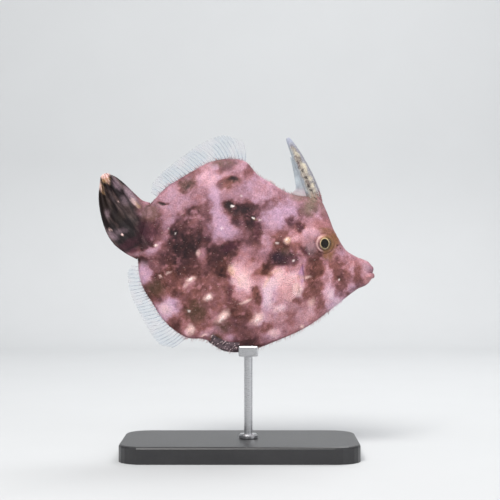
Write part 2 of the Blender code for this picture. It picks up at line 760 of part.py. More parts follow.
def make_saddle(s_rod, bottom, keel_z, metal):
    """A small forked clip whose slot follows the keel of the belly."""
    mesh = bpy.data.meshes.new("stand_saddle")
    shape = bmesh.new()
    bmesh.ops.create_cube(shape, size=1)
    height = keel_z + SADDLE_CHEEK - bottom
    size = Matrix.Diagonal((SADDLE_LENGTH * MM, SADDLE_WIDTH * MM, height * MM, 1))
    bmesh.ops.transform(shape, matrix=size, verts=shape.verts)
    bmesh.ops.bevel(shape, geom=list(shape.edges), offset=0.5 * MM, segments=2, profile=0.5, affect="EDGES")
    bmesh.ops.translate(shape, vec=Vector((ROD_X, 0, bottom + height / 2)) * MM, verts=shape.verts)
    bmesh.ops.triangulate(shape, faces=shape.faces)
    shape.to_mesh(mesh)
    shape.free()
    saddle = bpy.data.objects.new("stand_saddle", mesh)
    bpy.context.scene.collection.objects.link(saddle)
    mesh.materials.append(metal)
    s = np.linspace(s_rod - 0.9, s_rod + 0.9, 11)
    t = np.linspace(0, 0.12, 8)
    grids = []
    for side in (1, -1):
        grid = side_point(np.repeat(s[:, None], len(t), 1), np.repeat(t[None, :], len(s), 0), side)
        grid[..., 1] += side * GAP
        grid[:, 0, 2] -= GAP
        grids.append(grid)
    combine(saddle, [add_object("keel_slot", *slab(*grids))], "DIFFERENCE")


def main():
    clear_scene()
    skin = material("mottled_skin", (0.48, 0.30, 0.38), 0.55)
    tail_skin = material("tail_skin", (0.30, 0.18, 0.22), 0.55)
    bone = material("spine_skin", (0.50, 0.46, 0.38), 0.6)
    fin = material("clear_fin", (0.55, 0.62, 0.68), 0.35)
    dark_fin = material("dark_fin", (0.08, 0.055, 0.06), 0.5)
    eye = material("eye", (0.55, 0.42, 0.16), 0.12)
    board = material("stand_board", (0.05, 0.05, 0.055), 0.3)
    metal = material("stand_metal", (0.62, 0.62, 0.64), 0.25, 1.0)
    make_head(skin)
    make_eyes(eye)
    make_torso(skin)
    make_keel(skin, bone)
    body_block("tail_base", (ROOT_S, TAIL_S), 4, 15, lambda s: 0, lambda s: 1, tail_skin)
    make_caudal_fin(dark_fin)
    make_edge_fins(fin)
    make_pectoral_fin("pectoral_fin_left", 1, fin)
    make_pectoral_fin("pectoral_fin_right", -1, fin)
    make_spine(bone)
    make_web(fin)
    make_stand(board, metal)


main()
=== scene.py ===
"""Looks of the aiptasia-eating filefish on its display stand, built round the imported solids.

Sizes are in millimetres and become metres where a mesh is made. +X runs from tail to snout,
+Z is up, and the side of the fish that the camera sees faces -Y.
"""

import math

import bmesh
import bpy
import numpy as np
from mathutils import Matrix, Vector


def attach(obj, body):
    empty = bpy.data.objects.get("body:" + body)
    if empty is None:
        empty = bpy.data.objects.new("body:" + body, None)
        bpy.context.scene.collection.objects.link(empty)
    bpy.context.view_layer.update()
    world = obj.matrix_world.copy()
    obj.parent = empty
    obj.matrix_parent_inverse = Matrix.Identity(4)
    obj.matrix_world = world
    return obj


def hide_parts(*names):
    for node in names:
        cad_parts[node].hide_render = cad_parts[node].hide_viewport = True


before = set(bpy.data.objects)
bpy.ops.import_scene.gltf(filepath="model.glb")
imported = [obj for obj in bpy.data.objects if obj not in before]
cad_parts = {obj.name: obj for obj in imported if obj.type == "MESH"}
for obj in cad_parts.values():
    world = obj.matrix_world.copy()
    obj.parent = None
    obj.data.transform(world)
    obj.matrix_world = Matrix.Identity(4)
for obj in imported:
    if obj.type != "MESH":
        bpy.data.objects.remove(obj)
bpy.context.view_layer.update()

MM = 0.001

# Camera: what 500 pixels span at the fish, and the point at the middle of the frame
FRAME_SPAN = 178.5
FRAME_CENTRE = (3.6, 73.2)
CAMERA_DISTANCE = 500.0
SENSOR = 36.0

# Studio: the backdrop in millimetres, and each light's place in metres, size, power, colour, target
# and spread in degrees
STAGE_FRONT = -1400.0
STAGE_REACH = 1600.0
WALL_Y = 680.0
WALL_TOP = 1600.0
WALL_BEND = 150.0
BEND_STEPS = 16
PAPER = (0.56, 0.57, 0.58, 1)
SKY = (0.93, 0.96, 1.0, 1.0)
SKY_STRENGTH = 0.30
LIGHT_TARGET = (0.0, 0.0, 0.07)
LIGHTS = (
    ("key_light", (-0.20, -0.60, 0.75), 0.35, 9.5, (1.0, 0.985, 0.96), LIGHT_TARGET, 180),
    ("fill_light", (0.75, -0.55, 0.30), 0.6, 1.6, (0.96, 0.98, 1.0), LIGHT_TARGET, 180),
    ("back_light", (0.20, 0.30, 0.65), 0.4, 3.0, (1.0, 1.0, 1.0), LIGHT_TARGET, 180),
    ("wall_light", (0.0, 0.10, 0.85), 0.9, 0.7, (1.0, 1.0, 1.0), (0.0, 0.66, 0.15), 70),
)

# Body sections from tail root to lips: bottom x, bottom z, top x, top z, half width, fullness
BODY = np.array(
    (
        (-36.6, 70.3, -32.1, 89.6, 2.3, 0.60),
        (-35.0, 60.7, -26.4, 95.5, 2.9, 0.65),
        (-31.1, 53.9, -21.8, 98.5, 3.5, 0.70),
        (-25.7, 46.4, -15.7, 102.1, 4.2, 0.74),
        (-18.9, 41.8, -10.0, 104.8, 4.8, 0.76),
        (-12.5, 41.1, -3.9, 105.9, 5.4, 0.78),
        (-5.0, 37.3, 2.1, 104.8, 5.8, 0.78),
        (4.3, 37.5, 6.4, 100.1, 6.1, 0.78),
        (13.2, 40.7, 11.1, 97.3, 6.3, 0.76),
        (21.1, 44.1, 15.4, 94.6, 6.3, 0.72),
        (27.8, 48.2, 19.3, 93.0, 6.1, 0.68),
        (32.8, 52.1, 25.0, 92.1, 5.6, 0.64),
        (36.8, 55.2, 29.6, 89.6, 4.9, 0.60),
        (40.0, 57.7, 33.4, 80.7, 4.2, 0.57),
        (42.5, 59.4, 37.3, 73.9, 3.5, 0.54),
        (44.6, 60.2, 41.4, 71.0, 2.9, 0.52),
        (46.3, 61.8, 45.1, 69.5, 2.4, 0.50),
        (46.9, 63.4, 46.8, 67.4, 1.6, 0.50),
    )
)
LIPS_S = 17.0
# Half widths of the body's edges and of the spine's seat, and how the rest of a section swells
EDGE_HALF = 0.6
WIDEST_T = 0.54
SPINE_SEAT_S = 11.55
SPINE_SEAT_HALF = 1.6
SPINE_SEAT_REACH = 0.75
LENS_POWER = 2.2
FLAP_THINNING = 0.45
FLAP_S = (5, 6.6, 9.6, 10.4)
FLAP_RIBS_S = (6.4, 7, 9.2, 10)
COAT_DEPTH = 0.15

# Pelvic rudiment: its sections, its share of their height, and its thorns
RUDIMENT_S = (5.2, 6.6)
RUDIMENT_SHARE = 0.05
RUDIMENT_GRID = (60, 26)
THORNS = 90
LARGE_THORN = (-6.2, 1.5, 39.6)
LARGE_THORN_WAY = (0.65, 0.35, 0.72)
LARGE_THORN_LENGTH = 3.0

# How finely the skin is cut, and how many bristles and flaps stand on it
TRUNK_COLUMNS = 135
HEAD_COLUMNS = 150
HEAD_FROM_S = 8.5
SNOUT_FROM_S = 14.5
RIM = 0.8
RIM_ROWS = 6
MIDDLE_ROWS = 146
TAIL_CAP = 1.2
SNOUT_CAP = 0.45
CAP_STEPS = 8
SKIN_COLUMNS = TRUNK_COLUMNS + HEAD_COLUMNS + 2 * CAP_STEPS
TUFTS_EACH_SIDE = 36000
LONE_PAPILLAE = 200
FLAPS_PER_SPOT = 6
TAIL_TUFTS = 5000

# Skin laid flat: the share of the width that each side takes, and half of a tuft's patch
HALF_UNWRAPPED = 0.49
PATCH_HALF = 0.0015

# Coat: lengths, lean and thickness of its bristles, where it ends and gets shorter, and its pale ones
COAT_LENGTHS = (0.25, 0.6)
COAT_RISE = 0.85
COAT_LEAN = (-0.75, 0.0, 0.1)
LEAN_SPREAD = 0.3
COAT_HALF = 0.05
COAT_CURL = -0.1
COAT_SINK = 0.06
COAT_FROM_EYE = 4.4
COAT_TO_X = 44.5
COAT_SHORTENS = (18.0, 14.0)
FACE_LOSS = 0.6
# Share and length of the cream bristles: partly pale bristles, partly a painted glint of light on bristle
# tips
PALE_GLINT_TUFTS = 0.025
PALE_GLINT_LENGTH = 1.4
TUFT_TINT_SPREAD = 0.12
TAIL_COAT_SHARE = 0.5
TAIL_LENGTHS = (0.25, 0.55)
TAIL_RISE = 0.75
TAIL_LEAN = (-0.7, 0.0, 0.25)
# Longer bristles: whether on the back, first and last section, count
EDGE_BRISTLES = ((True, 0.4, 11.0, 230), (False, 0.4, 12.0, 260))
EDGE_LENGTH = 1.7
# Shapes of bristles, flaps and thorns: half thickness, bend, sides and rings
BRISTLE_SHAPE = (0.08, (-0.2, 0, 0), 4, 3)
FLAP_SHAPE = (0.08, (-0.25, 0, -0.1), 4, 3)
THORN_SHAPE = (0.13, (-0.1, 0, -0.1), 5, 3)
BARB_CURL = (0, 0, -0.28)

# The nodes that the skin takes the place of, and the way that fin rays' rings are turned
SKIN_NODES = ("head", "torso", "belly_flap", "tail_base")
TUBE_GUIDE = (0.03, 1.0, 0.02)

# Head
EYE = (30.0, 75.5)
EYE_RADIUS = 3.35
EYE_DEPTH = 2.1
EYE_SINK = 1.35
IRIS_EDGE = 1.95
DISH_EDGE = 1.85
DISH_STEP = 0.08
DISH_DEPTH = 0.30
EYE_SIDES = 96
CORNEA_RADIUS = 2.5
PUPIL = (1.38, 1.65)
NOSTRILS = ((34.6, 74.6), (35.7, 73.6))
MOUTH_Z = 65.1
MOUTH_CORNER_X = 44.9
UPPER_LIP = (46.2, 67.8)
GILL_TOP = (21.8, 68.9)
GILL_BOTTOM = (23.2, 61.0)

# Relief of the skin: how much the pale parts swell, the spots' height and reach, pits by depth, start
# and reach, and ridges by height, place and reach
TONE_SWELL = 0.45
SPOT_SWELL = (0.30, 0.8)
EYE_PITS = ((0.30, 3.1, 1.3), (0.60, 2.2, 0.8))
EYE_FOLDS = (0.06, 4.9, 0.9)
NOSTRIL_RIM = (0.20, 0.5, 0.22)
NOSTRIL_HOLE = (0.75, 0, 0.30)
GILL_FOLDS = ((-1.15, 0, 0.20), (0.34, -0.55, 0.42), (0.12, 0.6, 0.5))
SPINE_MOUND = (0.6, 0, 2.6)
PECTORAL_MOUND = (0.45, 0, 0.9)
FIN_RIBS = (0.07, 2.0, 1.3)
FLAP_RIBS = (0.08, 2.4, 1.8)
UPPER_LIP_SWELL = (0.35, 1.3, 0.9)
CHIN_SWELL = (0.80, -1.1, 0.9)
MOUTH_GROOVE = (0.30, 0, 0.16)
MUZZLE_SWELL = (0.35, 0, 1.5)

# Fins along the back and the belly line: first and last section, rays, and the lengths and leans of
# the first and the last ray
DORSAL_S = (6.0, 0.45)
DORSAL_RAYS = 29
DORSAL_LENGTHS = (10.8, 4.2)
DORSAL_LEANS = (38, 12)
ANAL_S = (3.95, 0.3)
ANAL_RAYS = 27
ANAL_LENGTHS = (8.6, 4.0)
ANAL_LEANS = (28, 10)
FIN_SINK = 0.5
# Margin of these two fins: how its height falls, its share at the front and growth behind, and its
# loss at the rear
FIN_FALL = 0.8
FIN_FRONT = (0.72, 0.28, 9)
FIN_REAR = (0.35, 0.93, 0.07)
FIN_SWAY = 0.5
FIN_RIPPLE = 0.10
THIN_HALF = 0.06
THIN_ROOT = 0.10

# Tail fin and pectoral fins
CAUDAL_RAYS = 12
CAUDAL_BEND = -2.2
CAUDAL_BULGE = 1.3
CAUDAL_WAY = (-0.66, 0.75)
CAUDAL_FOLD = 0.42
CAUDAL_HALF = 0.12
CAUDAL_UPPER = ((-32.1, 89.6), (-35.2, 90.7), (-38.3, 93.7), (-41.3, 96.7), (-44.1, 99.0), (-46.4, 100.1))
CAUDAL_LOWER = ((-36.6, 70.3), (-41.4, 72.9), (-45.9, 76.9), (-48.7, 83.2), (-50.1, 91.2), (-49.3, 98.0))
PECTORAL_BASE = (21.1, 60.0)
PECTORAL_RAYS = 12
PECTORAL_LENGTH = 8.4
PECTORAL_ROOT_HEIGHT = 2.8
PECTORAL_SPREAD = 84.0
PECTORAL_TURN = 74
PECTORAL_DROOP = -8
PECTORAL_TAPER = 0.24
PECTORAL_SINK = 0.3
# Membranes: rows, columns between two rays, and how far the margin draws in between them
EDGE_SHEET = (14, 6, 0.05)
PECTORAL_SHEET = (16, 6, 0.06)
CAUDAL_SHEET = (40, 8, 0.05)
# Rays: radii at root and tip, where they fork, and how far the branches part
EDGE_RAY = ((0.17, 0.05), 0.55, 0.20)
PECTORAL_RAY = ((0.14, 0.05), 0.5, 0.22)
CAUDAL_RAY = ((0.50, 0.14), 0.35, 0.24)
RAY_RINGS = 12

# First dorsal spine and the web behind it
SPINE_PATH = ((26.8, 91.0), (25.1, 98.0), (17.0, 113.2))
SPINE_ROOT = (2.60, 1.30)
SPINE_TIP = (0.50, 0.35)
SPINE_BLUNTNESS = (2.6, 0.60)
SPINE_RINGS = 90
SPINE_SIDES = 32
WEB_REAR = ((18.5, 93.4), (19.8, 95.0), (19.8, 97.0), (19.3, 100.0), (18.6, 103.6), (17.9, 106.4))
WEB_TOP = 0.78
WEB_FOOT_Z = 93.5
WEB_GRID = (40, 14)
# Rows of barbs: angle from the rear of the spine, count, lengths at the foot and at the tip
BARB_ROWS = ((62, 26, 1.15, 0.5), (96, 22, 0.7, 0.4), (130, 24, 0.85, 0.45), (166, 20, 0.6, 0.35))

# Colours as they look in white light, 0 to 255: the skin's range of tones, cool and rosy, then other tints
TONE_STEPS = (0.0, 0.2, 0.4, 0.55, 0.7, 0.85, 1.0)
COOL_SKIN = (
    (40, 26, 31), (76, 47, 53), (122, 82, 92), (152, 113, 128), (172, 135, 155), (190, 153, 178),
    (216, 184, 204),
)
ROSY_SKIN = (
    (52, 29, 29), (93, 55, 48), (139, 88, 82), (174, 117, 119), (197, 145, 150), (222, 171, 178),
    (244, 206, 208),
)
TINTS = {
    "maroon": (84, 42, 56),
    "dark": (44, 33, 36),
    "olive": (88, 72, 54),
    "gold_brown": (128, 88, 56),
    "grey_olive": (126, 108, 94),
    "mauve_grey": (150, 126, 136),
    "plum": (62, 42, 56),
    "violet": (162, 122, 170),
    "orange": (214, 172, 132),
    "bone": (226, 214, 188),
    "cream": (250, 212, 206),
    "tail_dark": (34, 27, 29),
    "tail_streak": (84, 68, 67),
    "clear_blue": (150, 168, 188),
    "clear_white": (206, 196, 204),
    "clear_rose": (230, 180, 178),
    "web_grey": (168, 176, 184),
    "web_tan": (184, 178, 178),
    "web_foot": (228, 214, 220),
    "spine_tan": (158, 148, 138),
    "spine_brown": (116, 102, 98),
    "spine_mauve": (144, 144, 156),
    "spine_blue": (162, 172, 182),
    "spine_tip": (162, 166, 184),
    "iris_brown": (132, 96, 58),
    "iris_rose": (176, 124, 128),
    "iris_peach": (214, 160, 128),
    "iris_rim": (232, 196, 190),
    "ring_shade": (80, 54, 36),
    "ring_gold": (252, 226, 176),
    "pupil": (36, 30, 26),
    "bristle": (214, 190, 190),
    "flap": (240, 218, 208),
    "barb": (226, 220, 212),
    "bony": (84, 68, 74),
    "thorn": (216, 190, 192),
    "white": (255, 240, 236),
}

# Markings of the side view, laid on in this order: x, z, half length, half height, tilt if there is
# any, and tone, where 0 is the darkest brown and 1 the palest skin
BASE_TONE = 0.50
TONE_CONTRAST = 1.2
MARK_REACH = 0.88
MARK_EDGE = 6
BACK_TONES = (
    (-23.2, 91, 6, 4.5, 20, 0.66), (-25.5, 86.5, 4.5, 4, 0.62), (-32, 86.5, 4, 3, 0.5),
    (-10.5, 99, 5, 3.8, 0.82), (-9, 103.5, 5, 2, 0.64), (0, 102.5, 2.6, 3.4, 0.68),
    (-8.8, 89.5, 2.3, 8.5, 0.82), (-6.6, 81, 4.6, 4, -20, 0.8), (7.8, 94.4, 6, 3.3, -35, 0.74),
    (16, 86.4, 5.6, 3, -10, 0.78), (11.4, 83, 3.4, 3, 0.76), (9.2, 77, 2.4, 4.6, 0.62),
    (18, 91, 4, 2.2, 0.62), (8, 94.6, 4.4, 1.6, -35, 0.62), (-1, 92, 4.5, 3, 0.6),
    (-15, 93, 3.5, 3.5, 0.54), (-18.6, 96.6, 2.4, 2, 0.26), (-17, 99.6, 3.6, 1.3, 25, 0.44),
    (-20, 94.4, 1.2, 0.9, 0.34), (-6.2, 102.6, 3, 2, 12, 0.34), (-3.6, 104.6, 2.6, 1, 0.4),
    (-5.2, 96.2, 2.4, 1.8, 0.35), (-2.4, 98.2, 1.7, 0.8, -4, 0.1), (3, 101, 1.6, 2.6, -30, 0.42),
    (-27.3, 89.6, 1.3, 0.5, 3, 0.06), (10.8, 89.2, 3, 1.4, 38, 0.36), (15.4, 91.8, 1.3, 2, 0.5),
)
FLANK_TONES = (
    (-13.6, 85.5, 3, 3.2, 20, 0.36), (-16.8, 83.6, 1.9, 2.2, 0.5), (-12.4, 84, 2.1, 5.6, 0.34),
    (-11.8, 77.8, 2, 3.8, 0.3), (-20.4, 78, 5.4, 5.4, 0.12), (-19.2, 71.4, 5.4, 5.4, 0.12),
    (-25.4, 69, 4.4, 3, 0.26), (-22, 82, 2.4, 2, 0.26), (-17.6, 81.4, 2.6, 1.8, 0.24),
    (-3, 88.5, 2.6, 2.1, 0.08), (-0.8, 86, 2.6, 2.4, -45, 0.12), (2.4, 88, 2.9, 2.2, 0.12),
    (-0.8, 83.2, 1.9, 2, 0.24), (1.6, 81.4, 1.6, 3.4, -10, 0.42), (4.8, 82.2, 2.5, 4.4, 8, 0.15),
    (6, 77.8, 1.9, 3.2, 0.26), (-7.2, 72.6, 5.4, 2.6, 16, 0.18), (-2.4, 74.8, 3.2, 1.6, 24, 0.14),
    (-9.2, 70, 3, 3.4, 0.18), (-6.4, 66.4, 2.8, 5.2, 0.2), (2, 73.4, 2.2, 2.8, 0.54),
    (-13, 70.6, 1.5, 3, 0.52), (-11.2, 65.4, 1.6, 2, 0.22), (-10.8, 80.4, 1.1, 1.6, 0.56),
    (-4.8, 61, 2, 4.8, 0.24), (-9.8, 60.4, 3.6, 3.6, 0.42), (-25, 62.6, 5.4, 3, 0.32),
    (-29.4, 60.4, 3.2, 2.8, -20, 0.26), (-31.6, 58.2, 2, 3.8, 30, 0.22), (-15.6, 65.6, 2.6, 3.4, 0.3),
    (-19.6, 54.6, 3, 4, 0.32), (-15.6, 51.4, 4.4, 4.6, 0.28), (-8.8, 55.2, 4.4, 2.8, 0.44),
    (-2.4, 54.4, 2, 5.2, 0.28), (0.8, 48.4, 3.8, 4.6, 0.3), (-23, 47.4, 2.2, 3.2, 35, 0.24),
    (-12.6, 46.2, 3.6, 2.2, 0.42), (-9.6, 48.8, 2.4, 2.6, 0.5), (-5, 46.2, 2.4, 1.2, 0.32),
    (-7.8, 44.8, 1.4, 1, 0.62), (0.6, 43.6, 5.6, 1.9, 0.38), (2.6, 39.8, 5.6, 1.8, 6, 0.16),
    (7.6, 41, 2, 0.9, 14, 0.42), (-6.6, 41.4, 4.4, 0.9, -4, 0.2), (-28.4, 82, 3.4, 2.6, 0.4),
    (-32, 81.2, 3.8, 3.4, 0.28), (-25.7, 79.8, 1.5, 3, 0.54), (-30.9, 73.6, 3.4, 1.2, 32, 0.7),
    (-36, 71.2, 2.4, 0.7, 15, 0.48), (-34.8, 69.6, 3.4, 1.2, -8, 0.14), (-29, 69, 3, 1.2, 0.26),
    (-34, 64.6, 2.6, 3, 0.8), (-25.4, 52.4, 4.2, 3.2, 38, 0.84), (-18.8, 44.6, 1.3, 1.8, 0.74),
    (-12.6, 43.4, 3, 1, 12, 0.66), (-3.8, 42, 2.1, 1.3, 0.66), (-31, 68, 2, 1.6, 0.4),
    (-33.6, 75, 2.4, 1.5, 30, 0.2), (-27.8, 64.3, 1.6, 1.2, 0.26), (-17.4, 86.4, 2.2, 1.6, 0.24),
    (-22.6, 69.8, 1.8, 1.6, 0.12), (-22.8, 58.2, 1.8, 1.6, 0.28), (-28.8, 56, 1.6, 1.2, -30, 0.3),
    (-21.1, 66, 1.8, 1.5, 0.12), (-14.3, 60.3, 1.8, 1.6, 0.32), (-19.8, 46, 1.6, 1.4, 35, 0.46),
    (-36.4, 89, 1.6, 1.6, 0.32), (-32.8, 86.6, 1.6, 1.8, 0.55), (-24.6, 83.9, 1.6, 1.3, 0.62),
    (-16.8, 82.5, 1.4, 1.3, 0.4), (-20, 53.2, 1.5, 1.4, 0.24), (-16.1, 43.2, 1.4, 1, 20, 0.46),
    (-2.1, 99.6, 1.3, 1.1, 0.5), (5, 90.6, 1.4, 1.1, 0.68), (-5.4, 65.3, 1.4, 1.4, 0.1),
    (11.6, 88.7, 1.8, 1.2, 30, 0.46), (-27.8, 63.9, 1.5, 1.2, 0.2), (-23.2, 79.3, 1.5, 1.4, 0.04),
    (-6.8, 76, 1.4, 1.1, 20, 0.48), (8.4, 76.6, 1.3, 1.3, 0.7), (4.5, 85.2, 1.3, 1, 0.04),
    (-17.1, 61.4, 1.3, 1, 15, 0.6), (4.3, 46.1, 1.5, 1.2, 10, 0.54), (-22.1, 53.5, 1.3, 1.1, 0.62),
    (3.2, 75.7, 1.4, 1.3, 0.34), (-11.8, 79.3, 1.2, 1.4, 0.48), (-18.9, 58.9, 1.4, 1.2, 0.5),
    (-8.9, 102.5, 1.5, 1, 0.76),
)
BELLY_TONES = (
    (1.6, 62.8, 4.2, 5, 0.9), (-0.6, 66.8, 1.4, 1.9, 0.84), (4.2, 69, 3.2, 3.4, 0.64),
    (0, 57, 1.8, 1.4, 0.62), (5, 72, 1.8, 1.3, 0.46), (7.8, 64.4, 3.8, 1.7, 10, 0.64),
    (15.2, 63.6, 5.6, 3.8, 0.88), (10.2, 56.8, 2.9, 6, -6, 0.98), (16.4, 56.4, 4, 4.6, 0.72),
    (20.8, 59, 2.2, 2.7, 1), (21.9, 64.4, 1.1, 4.4, 0.76), (8, 50, 3, 2.6, 25, 0.82),
    (16.2, 51, 5, 2.8, 12, 0.7), (21.6, 49, 5, 2.9, 20, 0.66), (26, 53.6, 1.6, 3.8, -18, 0.78),
    (12.4, 44.6, 3.8, 1.8, 20, 0.64), (12, 43.4, 2.4, 1.5, 0.76), (5.6, 57.4, 1.6, 2.8, 0.36),
    (6.2, 55, 1.4, 2.2, 0.32), (10.6, 64.9, 1.4, 0.9, 0.5), (20.2, 54.8, 1.8, 1, 6, 0.46),
    (13.8, 52.4, 1.9, 1.3, 20, 0.9), (19.4, 50.6, 2.4, 1.4, 10, 0.5), (15.4, 70.2, 4.8, 2.3, 0.12),
    (9.8, 67.4, 3.6, 1.7, 48, 0.2), (6.4, 65.6, 1.8, 0.8, 40, 0.42), (18.4, 69.4, 1.3, 2.4, 0.31),
    (21.4, 68.6, 1, 2.2, 0.64), (8.6, 45.6, 3, 1.6, 0.42), (-2.6, 71.1, 1.6, 1.4, 0.21),
    (17.5, 66.2, 1.7, 1.3, 0.58), (5.7, 69.6, 1.5, 1.2, 0.46), (18.2, 47.8, 1.8, 1.3, 20, 0.5),
    (21.4, 50.7, 1.5, 1.2, 20, 0.7), (-1.1, 69.4, 1.3, 1.1, 0.52), (5.7, 51.8, 1.4, 1.2, 0.54),
    (18.9, 64.3, 1.4, 1.1, 0.84), (-2.9, 62.1, 1.2, 1.4, 0.84), (6.8, 47.5, 1.4, 1.1, 20, 0.84),
)
HEAD_TONES = (
    (22.6, 78, 4.2, 2.6, 0.7), (25, 75, 2.6, 4, 0.6), (28, 83, 2.4, 3, 30, 0.56),
    (26.6, 88.2, 1.5, 3.6, 15, 0.66), (24, 90, 2.8, 2.6, 0.52), (37.6, 70.4, 5, 2.1, -38, 0.62),
    (44, 67, 2.8, 3, 0.6), (18.1, 83.2, 1.7, 1.5, -30, 0.28), (21.2, 80.9, 2.1, 1.4, -35, 0.22),
    (19.4, 83, 0.6, 0.5, 0.42), (22.3, 86, 2.6, 1.6, 40, 0.36), (15.4, 76.8, 4, 3.3, 0.38),
    (14, 74.6, 2.2, 1.8, 0.26), (16.8, 74, 2.4, 1, 0.26), (22.8, 72.8, 2.2, 0.7, -58, 0.18),
    (20, 73.2, 2.2, 2, 0.42), (25.4, 71, 1.7, 2.2, 0.34), (26.8, 66, 2.9, 6.4, 0.27),
    (27.8, 58, 2.4, 3.8, 0.34), (36, 65.4, 2.9, 4.2, 22, 0.29), (32.8, 70.2, 3.2, 1.5, -45, 0.34),
    (36.4, 58.3, 2.2, 2.6, 0.35), (39.6, 65.8, 0.9, 3.2, -10, 0.7), (41.9, 64, 1.2, 3.8, -8, 0.36),
    (28.8, 54.4, 1.4, 3.4, -10, 0.42), (31.6, 64.2, 1.3, 5.6, -8, 0.74), (32.4, 68.4, 1, 1.5, 0.4),
    (32.2, 56.4, 2.1, 3.4, 0.92), (34, 54, 3, 1.7, 38, 0.92), (40, 60.4, 2.4, 1.1, 40, 0.7),
    (46, 63, 1.8, 1.6, 0.62), (28.8, 83, 2.2, 0.9, 0.54), (29.8, 85, 1, 1.3, 30, 0.44),
    (27, 79.4, 1.8, 1.6, 20, 0.74), (27.4, 82.2, 1.6, 1.8, 30, 0.5), (23.8, 57.4, 1.3, 1.6, 0.4),
    (18.2, 79.4, 1.5, 1.1, 0.6), (41.8, 61.8, 1.3, 1.2, 0.38), (20, 77.1, 1.4, 1.3, 0.72),
    (38.9, 70, 1.3, 1.2, -38, 0.46), (30.7, 63.2, 1.1, 1.6, -8, 0.58), (29.9, 54, 1.5, 1.6, 0.42),
    (35.2, 57.4, 1.5, 1.2, 38, 0.48), (30.3, 58.5, 1.2, 1.3, 0.82), (31.6, 54.5, 1.1, 1.2, 30, 0.8),
    (37.5, 60, 1.2, 1.1, 30, 0.44), (37.5, 67.5, 1.3, 1.2, 0.58), (27.3, 75.7, 1.4, 1.7, -30, 0.43),
    (28.2, 71, 1.3, 1.3, 0.22), (23.3, 73, 1.5, 1.2, -55, 0.26), (34.4, 66, 1.6, 1.2, -45, 0.36),
    (38.5, 63.8, 1.2, 1.7, -10, 0.42), (24.8, 87.7, 1.8, 1.8, 0.36), (26, 90, 1.6, 1.6, 0.42),
    (23.2, 79.3, 1.4, 1.2, 0.76),
)

# Places where the skin is rosier than elsewhere, in the same form; 1 is the rosiest
WARMTH = (
    (-18, 53, 14, 10, 0.75), (-25, 60, 7, 6, 0.8), (1.8, 62, 8, 8, 1), (15, 60, 9, 8, 1),
    (22, 77, 5, 5, 0.8), (30, 80, 5, 4, 0.8), (16, 50, 12, 6, 0.8), (27, 62, 4, 10, 0.8),
    (36, 66, 7, 5, 0.75), (15.4, 76.8, 4.4, 3.6, 0.8), (-9, 59, 6.4, 5, 0.7), (-5.4, 96.6, 3.6, 2.4, 0.9),
    (-11, 99, 3.4, 3, 0.7), (-8.8, 86, 2.6, 10, 0.05), (14, 86, 7, 4, 0), (-7, 81, 5, 4, 0.05),
    (-25.6, 53, 4, 3.2, 38, 0.1), (-34, 65.4, 3, 4, 0.2), (10, 57, 2.4, 5, -6, 0.4),
    (46, 62.6, 2, 1.8, 0.9), (15.4, 70.2, 5, 2.3, 0),
)

